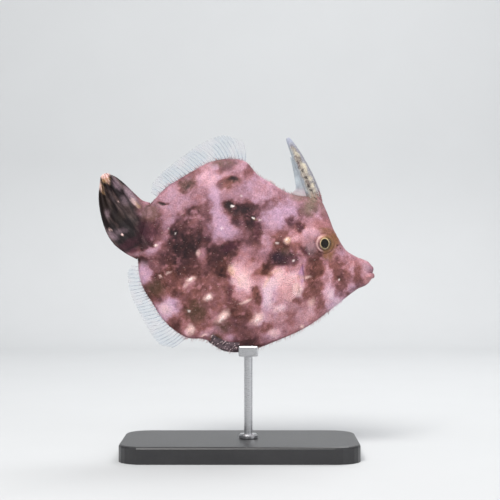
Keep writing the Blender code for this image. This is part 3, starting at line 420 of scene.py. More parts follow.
# Small crisp marks, in layers: a tint, the softness of its edges, and x, z, sizes, tilt if any, strength
ACCENTS = (
    ("olive", 1, (
        (-18.4, 97, 2.6, 2, 0.35), (-5.6, 103.8, 4.2, 1.4, 6, 0.2), (-15.2, 51, 4, 4, 0.45),
        (-29.8, 59.6, 3.4, 3, -30, 0.45), (-32, 86.8, 3.4, 3, 0.5), (-8.4, 42, 3, 1.2, -4, 0.5),
        (-6.4, 45.8, 3, 2, 0.4), (16, 72.6, 2, 1.6, 0.4),
    )),
    ("grey_olive", 1.7, (
        (25.4, 91, 3, 2.2, 70, 0.85), (24.6, 88.4, 3, 2, 50, 0.75), (21, 92.2, 3.4, 1.3, -8, 0.6),
        (26.8, 88.6, 1.5, 1.8, 0.5), (-8, 104, 5, 1.2, 8, 0.25), (28.6, 89.4, 1, 2.8, 20, 0.5),
    )),
    ("bone", 1.6, ((26.4, 92.6, 1.4, 1.6, 30, 0.2),)),
    ("gold_brown", 0.9, (
        (32.8, 76, 2.4, 3.8, -12, 0.9), (30.4, 79.8, 2.8, 1.4, -10, 0.6), (31.8, 78, 1.4, 1.4, 0.7),
        (31.4, 71.8, 1.6, 2, -20, 0.7),
    )),
    ("plum", 0.9, ((14, 70.8, 3.2, 1.4, 0.45),)),
    ("mauve_grey", 1.4, (
        (25.4, 74.8, 2, 3, 0.5), (45.4, 67.6, 1.8, 1.8, 0.45), (-34.6, 68.4, 1.6, 1, 10, 0.4),
    )),
    ("violet", 1, ((22.1, 64.4, 0.6, 4, 0.5),)),
    ("maroon", 0.7, (
        (18.1, 83, 1.6, 1.2, -30, 0.45), (21.2, 80.8, 1.9, 1.1, -35, 0.5), (-3.8, 60, 1, 5, 0.5),
        (20.2, 54.8, 1.7, 0.9, 6, 0.2), (23, 72.6, 2, 0.5, -58, 0.7), (-2.8, 74.6, 3.4, 1.3, 24, 0.5),
        (5.6, 80, 1.4, 3.4, 0.4),
    )),
    ("dark", 0.4, (
        (-27.3, 89.6, 1.1, 0.4, 3, 0.9), (-2.2, 98.3, 1.4, 0.5, -4, 0.8), (-18.4, 95.8, 1, 0.8, 0.6),
        (4.6, 59.8, 0.5, 0.9, 0.5), (6.2, 57.4, 0.45, 0.8, 0.6), (5.4, 55.6, 0.5, 0.7, 0.5),
        (26.9, 91.4, 1, 0.3, -42, 0.7), (25.4, 90.4, 0.8, 0.28, -36, 0.5), (28, 92.8, 0.7, 0.25, -42, 0.6),
        (-3.4, 89.6, 1.8, 1, 0.5), (-14.6, 76.8, 1.2, 1.6, 0.4),
    )),
    ("cream", 1.7, (
        (16.8, 76.9, 1.1, 0.9, 15, 1), (-17.7, 62.6, 1.4, 0.9, 15, 0.9), (-19, 60.4, 0.6, 1.2, -28, 0.4),
        (-11.2, 56.3, 1.2, 0.8, 10, 0.9), (-5.8, 49.4, 2.2, 1.1, 38, 0.9), (6.2, 48.8, 2.2, 1.4, 38, 0.95),
        (-17.8, 44.6, 1.2, 1.6, 0.8), (1.8, 55, 1.5, 0.45, 24, 0.8), (-14.2, 71.8, 0.6, 1, 0.5),
        (-25.3, 65.1, 0.9, 0.4, 20, 0.6), (-28.2, 63.5, 0.8, 0.3, -35, 0.6), (-29.9, 74.8, 0.6, 0.5, 0.9),
        (23.7, 63, 1.2, 0.6, 0.55), (22, 46, 0.7, 0.6, 0.8), (-13, 42.6, 1, 0.4, 15, 0.8),
        (12, 43.4, 1.6, 1.2, 0.4), (20.9, 58.8, 1, 1.6, 0.6), (-26.2, 52.2, 1.8, 2, 40, 0.45),
        (1.2, 63.4, 1.6, 2.4, 0.35), (25.4, 54.6, 0.9, 1.6, -18, 0.4), (-2.4, 67.2, 0.9, 1.2, 0.6),
    )),
    ("orange", 1.3, (
        (17, 76.9, 1.1, 0.9, 10, 0.7), (6, 84, 0.6, 0.4, -40, 0.25), (22, 63.4, 1.2, 0.7, 0.3),
        (-2.6, 66, 0.7, 1.8, 20, 0.4), (9.6, 62, 0.6, 2.4, -30, 0.35), (12.6, 65.6, 1.6, 0.6, 20, 0.35),
        (-0.6, 62, 0.5, 2, 10, 0.3), (14, 66.2, 0.5, 1.2, 30, 0.3),
    )),
    ("white", 0.7, (
        (-2.2, 88.8, 0.75, 0.6, 1), (5.4, 84.6, 0.5, 0.35, -10, 1), (16.7, 77.1, 0.6, 0.45, 15, 0.9),
        (-25.4, 80.3, 0.4, 0.22, -30, 0.6), (0.4, 92.4, 0.8, 0.3, -35, 0.5), (7.6, 83.6, 0.6, 0.3, 30, 0.5),
        (18.6, 69.6, 0.3, 0.3, 0.6), (35.4, 62.6, 0.28, 0.28, 0.7), (13, 75.6, 0.6, 0.4, 10, 0.6),
        (-18.4, 51.8, 0.45, 0.4, 0.7), (-11.2, 56.4, 0.7, 0.45, 10, 0.7), (-17.5, 62.8, 0.8, 0.4, 15, 0.7),
        (6, 48.4, 1, 0.6, 38, 0.7), (-6.4, 48.6, 1, 0.3, 40, 0.8), (-22.6, 78.8, 0.16, 0.5, 0.5),
        (-6, 80.8, 0.4, 0.5, 0.4), (-30, 75.1, 0.35, 0.3, 0.8), (24.2, 71.8, 0.25, 0.25, 0.8),
    )),
)

# Where the dark of the tail fin takes over from the skin: height, x
CAUDAL_DARK = ((66, -46), (71, -39.5), (73.2, -34.5), (76, -30), (81, -29.4), (86, -33), (92, -35))

# Living finishes: roughness, size of mottling and of grains, bump, subsurface and specular level
LIVING_FINISHES = (
    ("mottled_skin", 0.50, 0.45, 0.30, 0.05, 0.08, 0.2),
    ("velvet_coat", 0.60, 0.45, 0.30, 0.02, 0.0, 0.15),
    ("spine_skin", 0.55, 0.35, 0.22, 0.05, 0.0, 0.4),
    ("dark_fin", 0.55, 0.50, 0.30, 0.04, 0.0, 0.2),
    ("iris", 0.45, 0.30, 0.12, 0.01, 0.0, 0.3),
)
# Mottling and grains: factor of the tint at the low and the high end, and the noise's range
MOTTLING = (0.72, 1.28, 0.3, 0.7)
GRAIN_SHADE = (1.12, 0.80)
ROUGHNESS_SPREAD = 0.12
FLESH_RADIUS = (1.0, 0.45, 0.35)
FLESH_DEPTH = 0.8
# Clear finishes: roughness, least and most cover, and size of the streaks
CLEAR_FINISHES = (
    ("clear_fin", 0.40, 0.04, 0.16, 1.4),
    ("fin_rays", 0.45, 0.16, 0.40, 0.8),
    ("spine_web", 0.45, 0.55, 0.85, 1.2),
)

# Stand: darkest and palest colour of the board and of the steel, already linear
BOARD_COLOURS = ((0.016, 0.016, 0.018, 1), (0.034, 0.033, 0.035, 1))
STEEL_COLOURS = ((0.46, 0.46, 0.48, 1), (0.66, 0.66, 0.67, 1))

# Which of the accents are the cream spots, which stand out and carry small flaps of skin
CREAM_SPOTS = -3

# Markings of the tail fin, in the same form as the accents
CAUDAL_MARKINGS = (
    ("maroon", 1.2, (
        (-33, 79.6, 4, 3, -50, 0.5), (-40, 75, 5, 1.6, 30, 0.4), (-37.8, 72.8, 1.6, 0.9, 30, 0.7),
    )),
    ("olive", 1.3, ((-47.5, 89, 2.2, 5, 10, 0.12), (-42, 85.6, 3, 1.6, 40, 0.1))),
    ("mauve_grey", 1.3, (
        (-43.6, 97, 1, 2.2, 30, 0.8), (-38.8, 92.4, 1.1, 4.2, 36, 0.85), (-47.4, 86.2, 1.1, 1.5, 0.45),
        (-45.4, 78.8, 2, 1.2, -35, 0.6), (-42.4, 80.2, 2.2, 1, 10, 0.3), (-36.4, 71.6, 2.6, 0.6, 20, 0.4),
        (-45.6, 91.4, 0.6, 1.4, 20, 0.12), (-41.1, 91, 1.2, 1.8, 34, 0.35),
    )),
    ("orange", 0.9, (
        (-47.2, 98.4, 1.6, 1.4, 0.75), (-48.9, 95.2, 0.5, 2, 26, 0.6), (-36.6, 89.4, 0.6, 1.4, 36, 0.4),
    )),
    ("cream", 0.8, (
        (-49.7, 96, 0.5, 1.6, 22, 0.7), (-47.6, 99.6, 1.7, 0.9, 10, 0.9), (-46.6, 97.8, 0.8, 0.8, 0.4),
        (-41.8, 79, 0.45, 0.4, 1), (-46, 80.8, 0.8, 0.3, -15, 0.7), (-43.4, 90.4, 0.3, 0.3, 0.6),
        (-38, 90.4, 0.6, 1.8, 36, 0.4),
    )),
    ("dark", 0.8, (
        (-40.3, 86.8, 1.6, 1.6, 0.5), (-46.4, 95.8, 0.35, 1.6, 30, 0.9), (-48, 94.2, 0.3, 1.6, 30, 0.8),
        (-45.4, 97.6, 0.3, 1.2, 34, 0.7),
    )),
)

# Markings of the first dorsal spine, in the same form
SPINE_MARKINGS = (
    ("bone", 1.1, (
        (22.7, 102.8, 0.7, 1.7, 28, 0.7), (25.1, 98.8, 0.7, 1.2, 22, 0.5), (25.9, 96, 0.6, 1.1, 12, 0.7),
        (27, 94.2, 0.6, 0.9, 10, 0.35), (20.4, 107.6, 0.6, 1.3, 30, 0.5), (24.2, 94.2, 1, 0.7, -30, 0.2),
    )),
    ("olive", 1.1, (
        (26.2, 97.4, 0.6, 1, 20, 0.4), (23.6, 92.8, 1.4, 0.9, -30, 0.4), (21.2, 106, 0.5, 1.2, 30, 0.5),
    )),
    ("maroon", 0.9, ((20.6, 104, 0.4, 1.2, 10, 0.5), (27, 100.4, 0.5, 1.6, 30, 0.35))),
    ("dark", 0.6, (
        (20.4, 104.8, 0.35, 0.8, 10, 0.6), (20.8, 102.6, 0.35, 0.5, 0.5),
        (22.4, 101.2, 0.7, 0.35, -50, 0.8), (23.5, 99.4, 0.75, 0.7, 30, 0.9), (23.6, 97.3, 0.4, 0.4, 0.5),
        (24.4, 95.8, 0.8, 0.4, -60, 0.9), (25.5, 94.2, 0.9, 0.35, -30, 0.9),
        (26.8, 92.9, 0.7, 0.35, -50, 0.8), (26.6, 96.4, 0.35, 0.7, 20, 0.4), (22, 104.6, 0.3, 0.7, 25, 0.4),
        (28.3, 93.6, 0.4, 0.4, 0.4),
    )),
)


def linear(colour):
    """A colour of 0 to 255 as linear light."""
    share = np.array(colour) / 255
    return np.where(share <= 0.04045, share / 12.92, ((share + 0.055) / 1.055) ** 2.4)


def smooth_step(value):
    value = np.clip(value, 0, 1)
    return value * value * (3 - 2 * value)


def hump(distance, reach):
    """A smooth bump of height 1 at distance 0."""
    return np.exp(-((np.asarray(distance) / reach) ** 2))


def lattice_noise(points, size, seed):
    """Smooth noise from -1 to 1 whose lumps are about size across."""
    count = 32
    table = np.random.default_rng(seed).uniform(-1, 1, (count, count, count))
    place = np.asarray(points) / size
    cell = np.floor(place).astype(int)
    share = smooth_step(place - cell).T
    weights = (1 - share, share)
    index = (cell.T % count, (cell.T + 1) % count)
    total = np.zeros(len(place))
    for a, b, c in np.ndindex(2, 2, 2):
        total += weights[a][0] * weights[b][1] * weights[c][2] * table[index[a][0], index[b][1], index[c][2]]
    return total


def cloud(points, size, seed, octaves=3):
    """Noise with finer noise on it, mostly between -1 and 1."""
    total = np.zeros(len(points))
    for i in range(octaves):
        total += lattice_noise(points, size / 2**i, seed + i) / 2**i
    return total / 1.5


def bent(points, seed):
    """The x and z of the points, shifted a little so that painted edges wander."""
    x = points[:, 0] + 0.9 * cloud(points, 5.0, seed) + 0.45 * cloud(points, 1.4, seed + 40)
    z = points[:, 2] + 0.9 * cloud(points, 5.0, seed + 10) + 0.45 * cloud(points, 1.4, seed + 50)
    return x, z


def mark_distance(x, z, mark_x, mark_z, long, high, tilt=0):
    """Distance from the middle of a mark, 1 at its edge."""
    turn = math.radians(tilt)
    across = (x - mark_x) * math.cos(turn) + (z - mark_z) * math.sin(turn)
    upward = (z - mark_z) * math.cos(turn) - (x - mark_x) * math.sin(turn)
    return np.hypot(across / long, upward / high)


def blend_marks(x, z, ragged, value, marks):
    """The value drawn towards each mark's own, with edges that melt into one another."""
    for *place, target in marks:
        distance = np.maximum(MARK_REACH * mark_distance(x, z, *place) + ragged, 0)
        value = value + (target - value) / (1 + distance**MARK_EDGE)
    return value


def mixed(colour, tint, cover):
    """The colour with a tint, a name or another colour, laid over it as far as cover says."""
    if isinstance(tint, str):
        tint = linear(TINTS[tint])
    return colour + (tint - colour) * np.asarray(cover)[..., None]


def layered(layers):
    """The colour that several tints make, each laid over the ones before it."""
    colour = np.zeros((len(layers[-1][1]), 3))
    for tint, cover in layers:
        colour = mixed(colour, tint, cover)
    return colour


def paint(points, colour, layers, seed=7):
    """The colours with each layer's patches laid over them."""
    x, z = bent(points, seed)
    ragged = 0.26 * cloud(points, 1.9, seed + 20) + 0.22 * cloud(points, 0.7, seed + 30, 2)
    ragged = ragged + 1.4 * smooth_step(1 - np.abs(points[:, 1]) / 3.2) * smooth_step((x - 29.0) / 2.0)
    for tint, soft, marks in layers:
        cover = np.zeros(len(points))
        for *place, strength in marks:
            distance = mark_distance(x, z, *place) + ragged
            cover = np.maximum(cover, strength * smooth_step((1 + soft / 2 - distance) / soft))
        colour = mixed(colour, tint, cover)
    return colour


def ranged_colour(tone, steps):
    """The colour at each tone of a range."""
    steps = np.array([linear(step) for step in steps])
    return np.stack([np.interp(tone, TONE_STEPS, steps[:, i]) for i in range(3)], -1)


def skin_tone(points, x, z, ragged):
    """How pale the skin is, from 0 to 1, by its markings alone."""
    tone = BASE_TONE + 0.05 * cloud(points, 7.0, 61)
    for marks in (BACK_TONES, FLANK_TONES, BELLY_TONES, HEAD_TONES):
        tone = blend_marks(x, z, ragged, tone, marks)
    return 0.5 + TONE_CONTRAST * (tone - 0.5)


def tail_dark(points):
    """The tail fin's dark ground, streaked along its rays."""
    ahead = 0.83 * points[:, 0] + 0.55 * points[:, 2]
    upward = 0.83 * points[:, 2] - 0.55 * points[:, 0]
    streak = cloud(np.stack((ahead, points[:, 1], upward / 4), -1), 1.4, 17)
    return mixed(linear(TINTS["tail_dark"]), "tail_streak", smooth_step(1.6 * streak))


def skin_colour(points):
    """The mottled skin's colour at each point, and the tail fin's."""
    points = np.asarray(points, float)
    x, z = bent(points, 7)
    ragged = 0.22 * cloud(points, 2.2, 27) + 0.22 * cloud(points, 0.9, 37, 2)
    tone = skin_tone(points, x, z, ragged)
    tone = tone + (0.10 * cloud(points, 3.2, 91) + 0.13 * cloud(points, 1.2, 95)) * (1.2 - tone)
    fleck = cloud(points, 1.3, 101)
    tone = tone + 0.36 * smooth_step(2 * fleck - 0.4) * np.clip(1 - tone, 0, 1) ** 1.3
    tone = tone - 0.24 * smooth_step(-2 * fleck - 0.5) * np.clip(1.2 - tone, 0, 1) * tone
    warmth = blend_marks(x, z, ragged, 0.3 + 0.2 * cloud(points, 6.0, 5), WARMTH)
    warmth = np.clip(warmth + 0.35 * cloud(points, 1.8, 15), 0, 1)[:, None]
    colour = ranged_colour(tone, COOL_SKIN) * (1 - warmth) + ranged_colour(tone, ROSY_SKIN) * warmth
    fin_from = np.interp(points[:, 2], *zip(*CAUDAL_DARK)) + 1.2 * cloud(points, 3.0, 19)
    colour = mixed(colour, tail_dark(points), smooth_step((fin_from - points[:, 0]) / 5.0))
    return paint(points, paint(points, colour, CAUDAL_MARKINGS, 33), ACCENTS)


def spine_colour(points):
    """Tan in the middle, mauve in front, bluish behind and at the tip, and like the skin at the foot."""
    points = np.asarray(points, float)
    f = np.linspace(0, 1, 80)
    centre, _, rearward = spine_frame(f)
    nearest = np.hypot(points[:, :1] - centre[:, 0], points[:, 2:] - centre[:, 2]).argmin(1)
    across = ((points - centre[nearest]) * rearward[nearest]).sum(1) / spine_radii(f)[0][nearest]
    across = across + 0.35 * cloud(points, 1.6, 55)
    colour = layered((
        ("spine_tan", 1.0 + 0 * across),
        ("spine_brown", smooth_step(1.6 * cloud(points, 1.3, 45) + 0.1)),
        ("spine_mauve", smooth_step((-across - 0.15) / 0.5) * 0.85),
        ("spine_blue", smooth_step((across - 0.3) / 0.5) * 0.85),
        ("spine_tip", smooth_step((f[nearest] - 0.86) / 0.1) * 0.9),
    ))
    colour = paint(points, colour, SPINE_MARKINGS, 51)
    return mixed(colour, skin_colour(points), 1 - smooth_step((f[nearest] - 0.08) / 0.14))


def along(knots, s):
    """The row at place s on a smooth curve through the rows of knots."""
    knots = np.asarray(knots, float)
    s = np.clip(np.asarray(s, float), 0, len(knots) - 1)
    i = np.minimum(s.astype(int), len(knots) - 2)
    f = (s - i)[..., None]
    before = np.where((i > 0)[..., None], knots[np.maximum(i - 1, 0)], 2 * knots[i] - knots[i + 1])
    after = knots[np.minimum(i + 2, len(knots) - 1)]
    last = np.where((i + 2 < len(knots))[..., None], after, 2 * knots[i + 1] - knots[i])
    start_slope = (knots[i + 1] - before) / 2
    end_slope = (last - knots[i]) / 2
    return (
        knots[i] * (2 * f**3 - 3 * f**2 + 1)
        + start_slope * (f**3 - 2 * f**2 + f)
        + knots[i + 1] * (3 * f**2 - 2 * f**3)
        + end_slope * (f**3 - f**2)
    )


def half_width(s, t):
    """Half of the body's thickness at section s and height t, from 0 at the belly to 1 at the back."""
    row = along(BODY, s)
    t = np.asarray(t, float)
    skewed = np.clip(t, 0, 1) ** (math.log(0.5) / math.log(WIDEST_T))
    lens = np.clip(1 - np.abs(2 * skewed - 1) ** LENS_POWER, 0, 1) ** row[..., 5]
    flap = np.interp(s, FLAP_S, (0, 1, 1, 0)) * FLAP_THINNING
    lens = lens * (1 - flap * (1 - smooth_step(t / 0.3)))
    seat = np.clip(1 - np.abs(np.asarray(s) - SPINE_SEAT_S) / SPINE_SEAT_REACH, 0, 1)
    edge = EDGE_HALF + (SPINE_SEAT_HALF - EDGE_HALF) * smooth_step(2 * seat) * (t > 0.5)
    return edge + (row[..., 4] - edge) * lens


def side_point(s, t, side):
    """The body's surface at section s and height t; side is -1 for the right and 1 for the left."""
    row = along(BODY, s)
    t = np.asarray(t, float)
    x = row[..., 0] + (row[..., 2] - row[..., 0]) * t
    z = row[..., 1] + (row[..., 3] - row[..., 1]) * t
    return np.stack((x, side * half_width(s, t), z), -1)


def place_on_side(x, z):
    """The section and height of a point of the side view."""
    low, high = 0.0, LIPS_S
    for _ in range(40):
        s = (low + high) / 2
        row = along(BODY, s)
        t = (z - row[1]) / (row[3] - row[1])
        if row[0] + (row[2] - row[0]) * t < x:
            low = s
        else:
            high = s
    return s, t


def width_at(x, z):
    """Half of the body's thickness at a point of the side view."""
    return float(half_width(*place_on_side(x, z)))


def outline_point(s, top):
    row = along(BODY, s)
    return row[..., 2:4] if top else row[..., 0:2]


def outline_normal(s, top):
    step = outline_point(s + 0.02, top) - outline_point(s - 0.02, top)
    normal = np.stack((-step[..., 1], step[..., 0]), -1)
    normal = normal if top else -normal
    return normal / np.linalg.norm(normal, axis=-1, keepdims=True)


def back_height(x):
    """The height of the back line over a place ahead of the flank's middle."""
    s = np.linspace(8, LIPS_S, 400)
    line = outline_point(s, True)
    return float(np.interp(x, line[:, 0], line[:, 1]))


def unit(vectors):
    length = np.linalg.norm(vectors, axis=-1, keepdims=True)
    return vectors / np.maximum(length, 1e-9)


def grid_normals(grid, closed):
    """Normals of a grid of points; a closed grid joins its last column of each row to its first."""
    down = np.gradient(grid, axis=0)
    if closed:
        across = np.roll(grid, -1, 1) - np.roll(grid, 1, 1)
    else:
        across = np.gradient(grid, axis=1)
    return unit(np.cross(down, across))


def add_mesh(name, points, faces, finish, colour=None, uvs=None):
    """A smooth mesh object from points in millimetres; colours go by point and UVs by corner."""
    points = np.asarray(points, float).reshape(-1, 3)
    mesh = bpy.data.meshes.new(name)
    mesh.from_pydata((points * MM).tolist(), [], [list(face) for face in faces])
    if colour is not None:
        tint = mesh.color_attributes.new(name="tint", type="FLOAT_COLOR", domain="POINT")
        rgba = np.concatenate((np.clip(colour, 0, 1), np.ones((len(points), 1))), 1)
        tint.data.foreach_set("color", rgba.astype(np.float32).ravel())
    if uvs is not None:
        layer = mesh.uv_layers.new(name="OFBake")
        layer.data.foreach_set("uv", np.asarray(uvs, np.float32).ravel())
    mesh.shade_smooth()
    mesh.materials.append(finish)
    obj = bpy.data.objects.new(name, mesh)
    bpy.context.scene.collection.objects.link(obj)
    return obj


def face_out(obj, merge=False):
    """Turns every face outward, after joining the points that coincide if merge is set."""
    shape = bmesh.new()
    shape.from_mesh(obj.data)
    if merge:
        bmesh.ops.remove_doubles(shape, verts=shape.verts, dist=1e-6)
    bmesh.ops.recalc_face_normals(shape, faces=shape.faces)
    shape.to_mesh(obj.data)
    shape.free()


def add_piece(name, points, faces, finish, colour, nodes=(), uvs=None, outward=True, merge=False):
    """A piece that moves with the body and takes the place of the nodes that are named."""
    obj = add_mesh(name, points, faces, finish, colour, uvs)
    if outward:
        face_out(obj, merge)
    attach(obj, "root")
    if nodes:
        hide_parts(*nodes)


def loop_faces(rows, columns):
    """The numbers of a grid's points and the faces between its rows, each of which is a closed loop."""
    number = np.arange(rows * columns).reshape(rows, columns)
    ahead = np.roll(number, -1, 1)
    return number, np.stack((number[:-1], number[1:], ahead[1:], ahead[:-1]), -1).reshape(-1, 4)


def join_shapes(shapes):
    """One list of points and one of faces from several pairs of them."""
    points = []
    faces = []
    count = 0
    for some_points, some_faces in shapes:
        points.append(np.asarray(some_points, float).reshape(-1, 3))
        faces.append(np.asarray(some_faces, int) + count)
        count += len(points[-1])
    return np.concatenate(points), np.concatenate(faces)


def tube_shape(path, radii, sides):
    """A closed tapered tube along a path."""
    path = np.asarray(path, float)
    ahead = unit(np.gradient(path, axis=0))
    out = unit(np.cross(TUBE_GUIDE, ahead))
    beside = np.cross(ahead, out)
    angles = np.arange(sides) * 2 * math.pi / sides
    turns = out[:, None] * np.cos(angles)[None, :, None] + beside[:, None] * np.sin(angles)[None, :, None]
    rings = path[:, None] + np.asarray(radii, float)[:, None, None] * turns
    number = np.arange(len(path) * sides).reshape(len(path), sides)
    a, d = number[:-1].ravel(), number[1:].ravel()
    ahead_numbers = np.roll(number, -1, 1)
    b, c = ahead_numbers[:-1].ravel(), ahead_numbers[1:].ravel()
    first, last = number[0], number[-1]
    low = np.full(sides, len(path) * sides)
    faces = (
        np.stack((a, b, c), 1),
        np.stack((a, c, d), 1),
        np.stack((low, np.roll(first, -1), first), 1),
        np.stack((low + 1, last, np.roll(last, -1)), 1),
    )
    return np.concatenate((rings.reshape(-1, 3), path[:1], path[-1:])), np.concatenate(faces)


def slab_shape(left, right):
    """The closed solid between two matching grids."""
    rows, columns = left.shape[:2]
    number = np.arange(rows * columns).reshape(rows, columns)
    a = number[:-1, :-1].ravel()
    b = number[1:, :-1].ravel()
    c = number[1:, 1:].ravel()
    d = number[:-1, 1:].ravel()
    face = np.concatenate((np.stack((a, b, c), 1), np.stack((a, c, d), 1)))
    rim = np.concatenate((number[:, 0], number[-1, 1:], number[-2::-1, -1], number[0, -2:0:-1]))
    after = np.roll(rim, -1)
    far = rows * columns
    near_edge = np.stack((rim, rim + far, after + far), 1)
    far_edge = np.stack((rim, after + far, after), 1)
    points = np.concatenate((left.reshape(-1, 3), right.reshape(-1, 3)))
    return points, np.concatenate((face, face[:, ::-1] + far, near_edge, far_edge))


def distance_to_segment(x, z, start, end):
    """How far each point of the side view lies from a line, with its sign, and its share along it."""
    start, end = np.array(start), np.array(end)
    way = end - start
    length = np.linalg.norm(way)
    share = ((x - start[0]) * way[0] + (z - start[1]) * way[1]) / length**2
    across = ((x - start[0]) * way[1] - (z - start[1]) * way[0]) / length
    return across, share


def ridge(distance, height, at, reach):
    """A rounded ridge where the distance from something is at."""
    return height * hump(distance - at, reach)


def socket_relief(x, z, height):
    """The height round the eye, which lies in a shallow pit with a folded rim."""
    from_eye = np.hypot(x - EYE[0], z - EYE[1])
    height = height * smooth_step((from_eye - 3.0) / 3.0)
    for depth, start, reach in EYE_PITS:
        height -= depth * (1 - smooth_step((from_eye - start) / reach))
    angle = np.arctan2(z - EYE[1], x - EYE[0])
    folds = np.cos(18 * angle + 0.6 * np.sin(3 * angle))
    return height + EYE_FOLDS[0] * folds * hump(from_eye - EYE_FOLDS[1], EYE_FOLDS[2])


def fin_ribs(s, from_edge, s_range, rays):
    """Ribs in the skin over what carries a fin's rays."""
    height, at, reach = FIN_RIBS
    rib = np.cos(2 * math.pi * (s - s_range[1]) / (s_range[0] - s_range[1]) * (rays - 1))
    return height * rib * hump(from_edge - at, reach) * smooth_step((s_range[0] - s) / 0.3)


def lips_relief(x, z):
    """The swollen lips, the groove between them, and the chin's and the muzzle's own curves."""
    forward = smooth_step((x - MOUTH_CORNER_X + 0.9) / 1.6)
    above = z - MOUTH_Z - 0.10 * (x - 47.0)
    lips = (ridge(above, *UPPER_LIP_SWELL) + ridge(above, *CHIN_SWELL)) * forward
    groove = ridge(above, *MOUTH_GROOVE) * smooth_step((x - MOUTH_CORNER_X) / 0.7)
    muzzle = ridge(np.hypot(x - UPPER_LIP[0], z - UPPER_LIP[1]), *MUZZLE_SWELL)
    behind = 0.16 * hump((x - MOUTH_CORNER_X + 0.2) / 0.35, 1.0) * hump(above, 1.6)
    return lips - groove + muzzle - behind


def relief(points, s, t, depth):
    """How far the skin stands out from the plain body at each point."""
    x, z = points[:, 0], points[:, 2]
    tone = skin_tone(points, *bent(points, 7), 0.22 * cloud(points, 2.2, 27))
    height = 0.16 * cloud(points, 6.0, 3) + 0.07 * cloud(points, 1.6, 9)
    height = height + TONE_SWELL * (np.clip(tone, 0, 1) - 0.5)
    for *place, strength in ACCENTS[CREAM_SPOTS][2]:
        height += SPOT_SWELL[0] * strength * hump(mark_distance(x, z, *place), SPOT_SWELL[1])
    height = socket_relief(x, z, height)
    for place in NOSTRILS:
        from_hole = np.hypot(x - place[0], z - place[1])
        height += ridge(from_hole, *NOSTRIL_RIM) - ridge(from_hole, *NOSTRIL_HOLE)
    across, share = distance_to_segment(x, z, GILL_TOP, GILL_BOTTOM)
    open_share = smooth_step(share / 0.2) * smooth_step((1 - share) / 0.2)
    for fold in GILL_FOLDS:
        height += ridge(across, *fold) * open_share
    height += ridge(np.hypot(x - SPINE_PATH[0][0] - 1.0, z - SPINE_PATH[0][1]), *SPINE_MOUND)
    from_pectoral = np.hypot((x - PECTORAL_BASE[0]) / 1.2, (z - PECTORAL_BASE[1]) / 1.9)
    height += ridge(from_pectoral, *PECTORAL_MOUND)
    height += fin_ribs(s, (1 - t) * depth, DORSAL_S, DORSAL_RAYS)
    height += fin_ribs(s, t * depth, ANAL_S, ANAL_RAYS)
    flap_rib = np.cos(34 * s + 1.4 * t * depth)
    on_flap = np.interp(s, FLAP_RIBS_S, (0, 1, 1, 0))
    height += FLAP_RIBS[0] * flap_rib * hump(t * depth - FLAP_RIBS[1], FLAP_RIBS[2]) * on_flap
    return height + lips_relief(x, z)


def skin_grid():
    """Points of the whole skin, a closed loop for each section, with its section, height and depth."""
    trunk = np.linspace(0, HEAD_FROM_S, TRUNK_COLUMNS, endpoint=False)
    s = np.concatenate((trunk, np.linspace(HEAD_FROM_S, LIPS_S, HEAD_COLUMNS)))
    row = along(BODY, s)
    depth = np.hypot(row[:, 2] - row[:, 0], row[:, 3] - row[:, 1])
    rim = np.minimum(RIM, 0.45 * depth)[:, None]
    turn = 1 - np.cos(np.linspace(0, math.pi / 2, RIM_ROWS + 1))
    middle = np.linspace(0, 1, MIDDLE_ROWS + 2)[1:-1]
    low = rim * turn
    high = depth[:, None] - low[:, ::-1]
    from_belly = np.concatenate((low, rim + (depth[:, None] - 2 * rim) * middle, high), 1)
    from_rim = np.minimum(from_belly, depth[:, None] - from_belly)
    roundness = np.sqrt(np.clip(1 - (1 - np.minimum(1, from_rim / rim)) ** 2, 0, 1))
    inner = COAT_DEPTH + from_belly * (1 - 2 * COAT_DEPTH / depth[:, None])
    t = inner / depth[:, None]
    sections = np.repeat(s[:, None], t.shape[1], 1)
    sides = []
    for side in (-1, 1):
        grid = side_point(sections, t, side)
        grid[..., 1] *= roundness * (1 - COAT_DEPTH / np.abs(grid[..., 1]).max(1, keepdims=True))
        sides.append(grid)
    loop = np.concatenate((sides[0], sides[1][:, -2:0:-1]), 1)
    loop_t = np.concatenate((t, t[:, -2:0:-1]), 1)
    loop_s = np.repeat(s[:, None], loop.shape[1], 1)
    loop_depth = np.repeat(depth[:, None], loop.shape[1], 1)
    return loop, loop_s, loop_t, loop_depth


def capped(loop):
    """The skin's grid with a wedge added at the tail root and a dome at the snout."""
    tail = []
    for i in range(CAP_STEPS, 0, -1):
        turn = i * math.pi / 2 / CAP_STEPS
        ring = loop[0].copy()
        ring[:, 0] -= TAIL_CAP * math.sin(turn)
        ring[:, 1] *= math.cos(turn)
        tail.append(ring)
    centre = loop[-1].mean(0)
    row = along(BODY, LIPS_S)
    forward = unit(np.array((row[3] - row[1], 0.0, row[0] - row[2])))
    snout = []
    for i in range(1, CAP_STEPS + 1):
        turn = i * math.pi / 2 / CAP_STEPS
        snout.append(centre + (loop[-1] - centre) * math.cos(turn) + forward * SNOUT_CAP * math.sin(turn))
    return np.concatenate((np.array(tail), loop, np.array(snout)))


def padded_ends(values):
    """The values of the skin's sections, repeated for its two caps."""
    return np.concatenate((values[:1].repeat(CAP_STEPS, 0), values, values[-1:].repeat(CAP_STEPS, 0)))


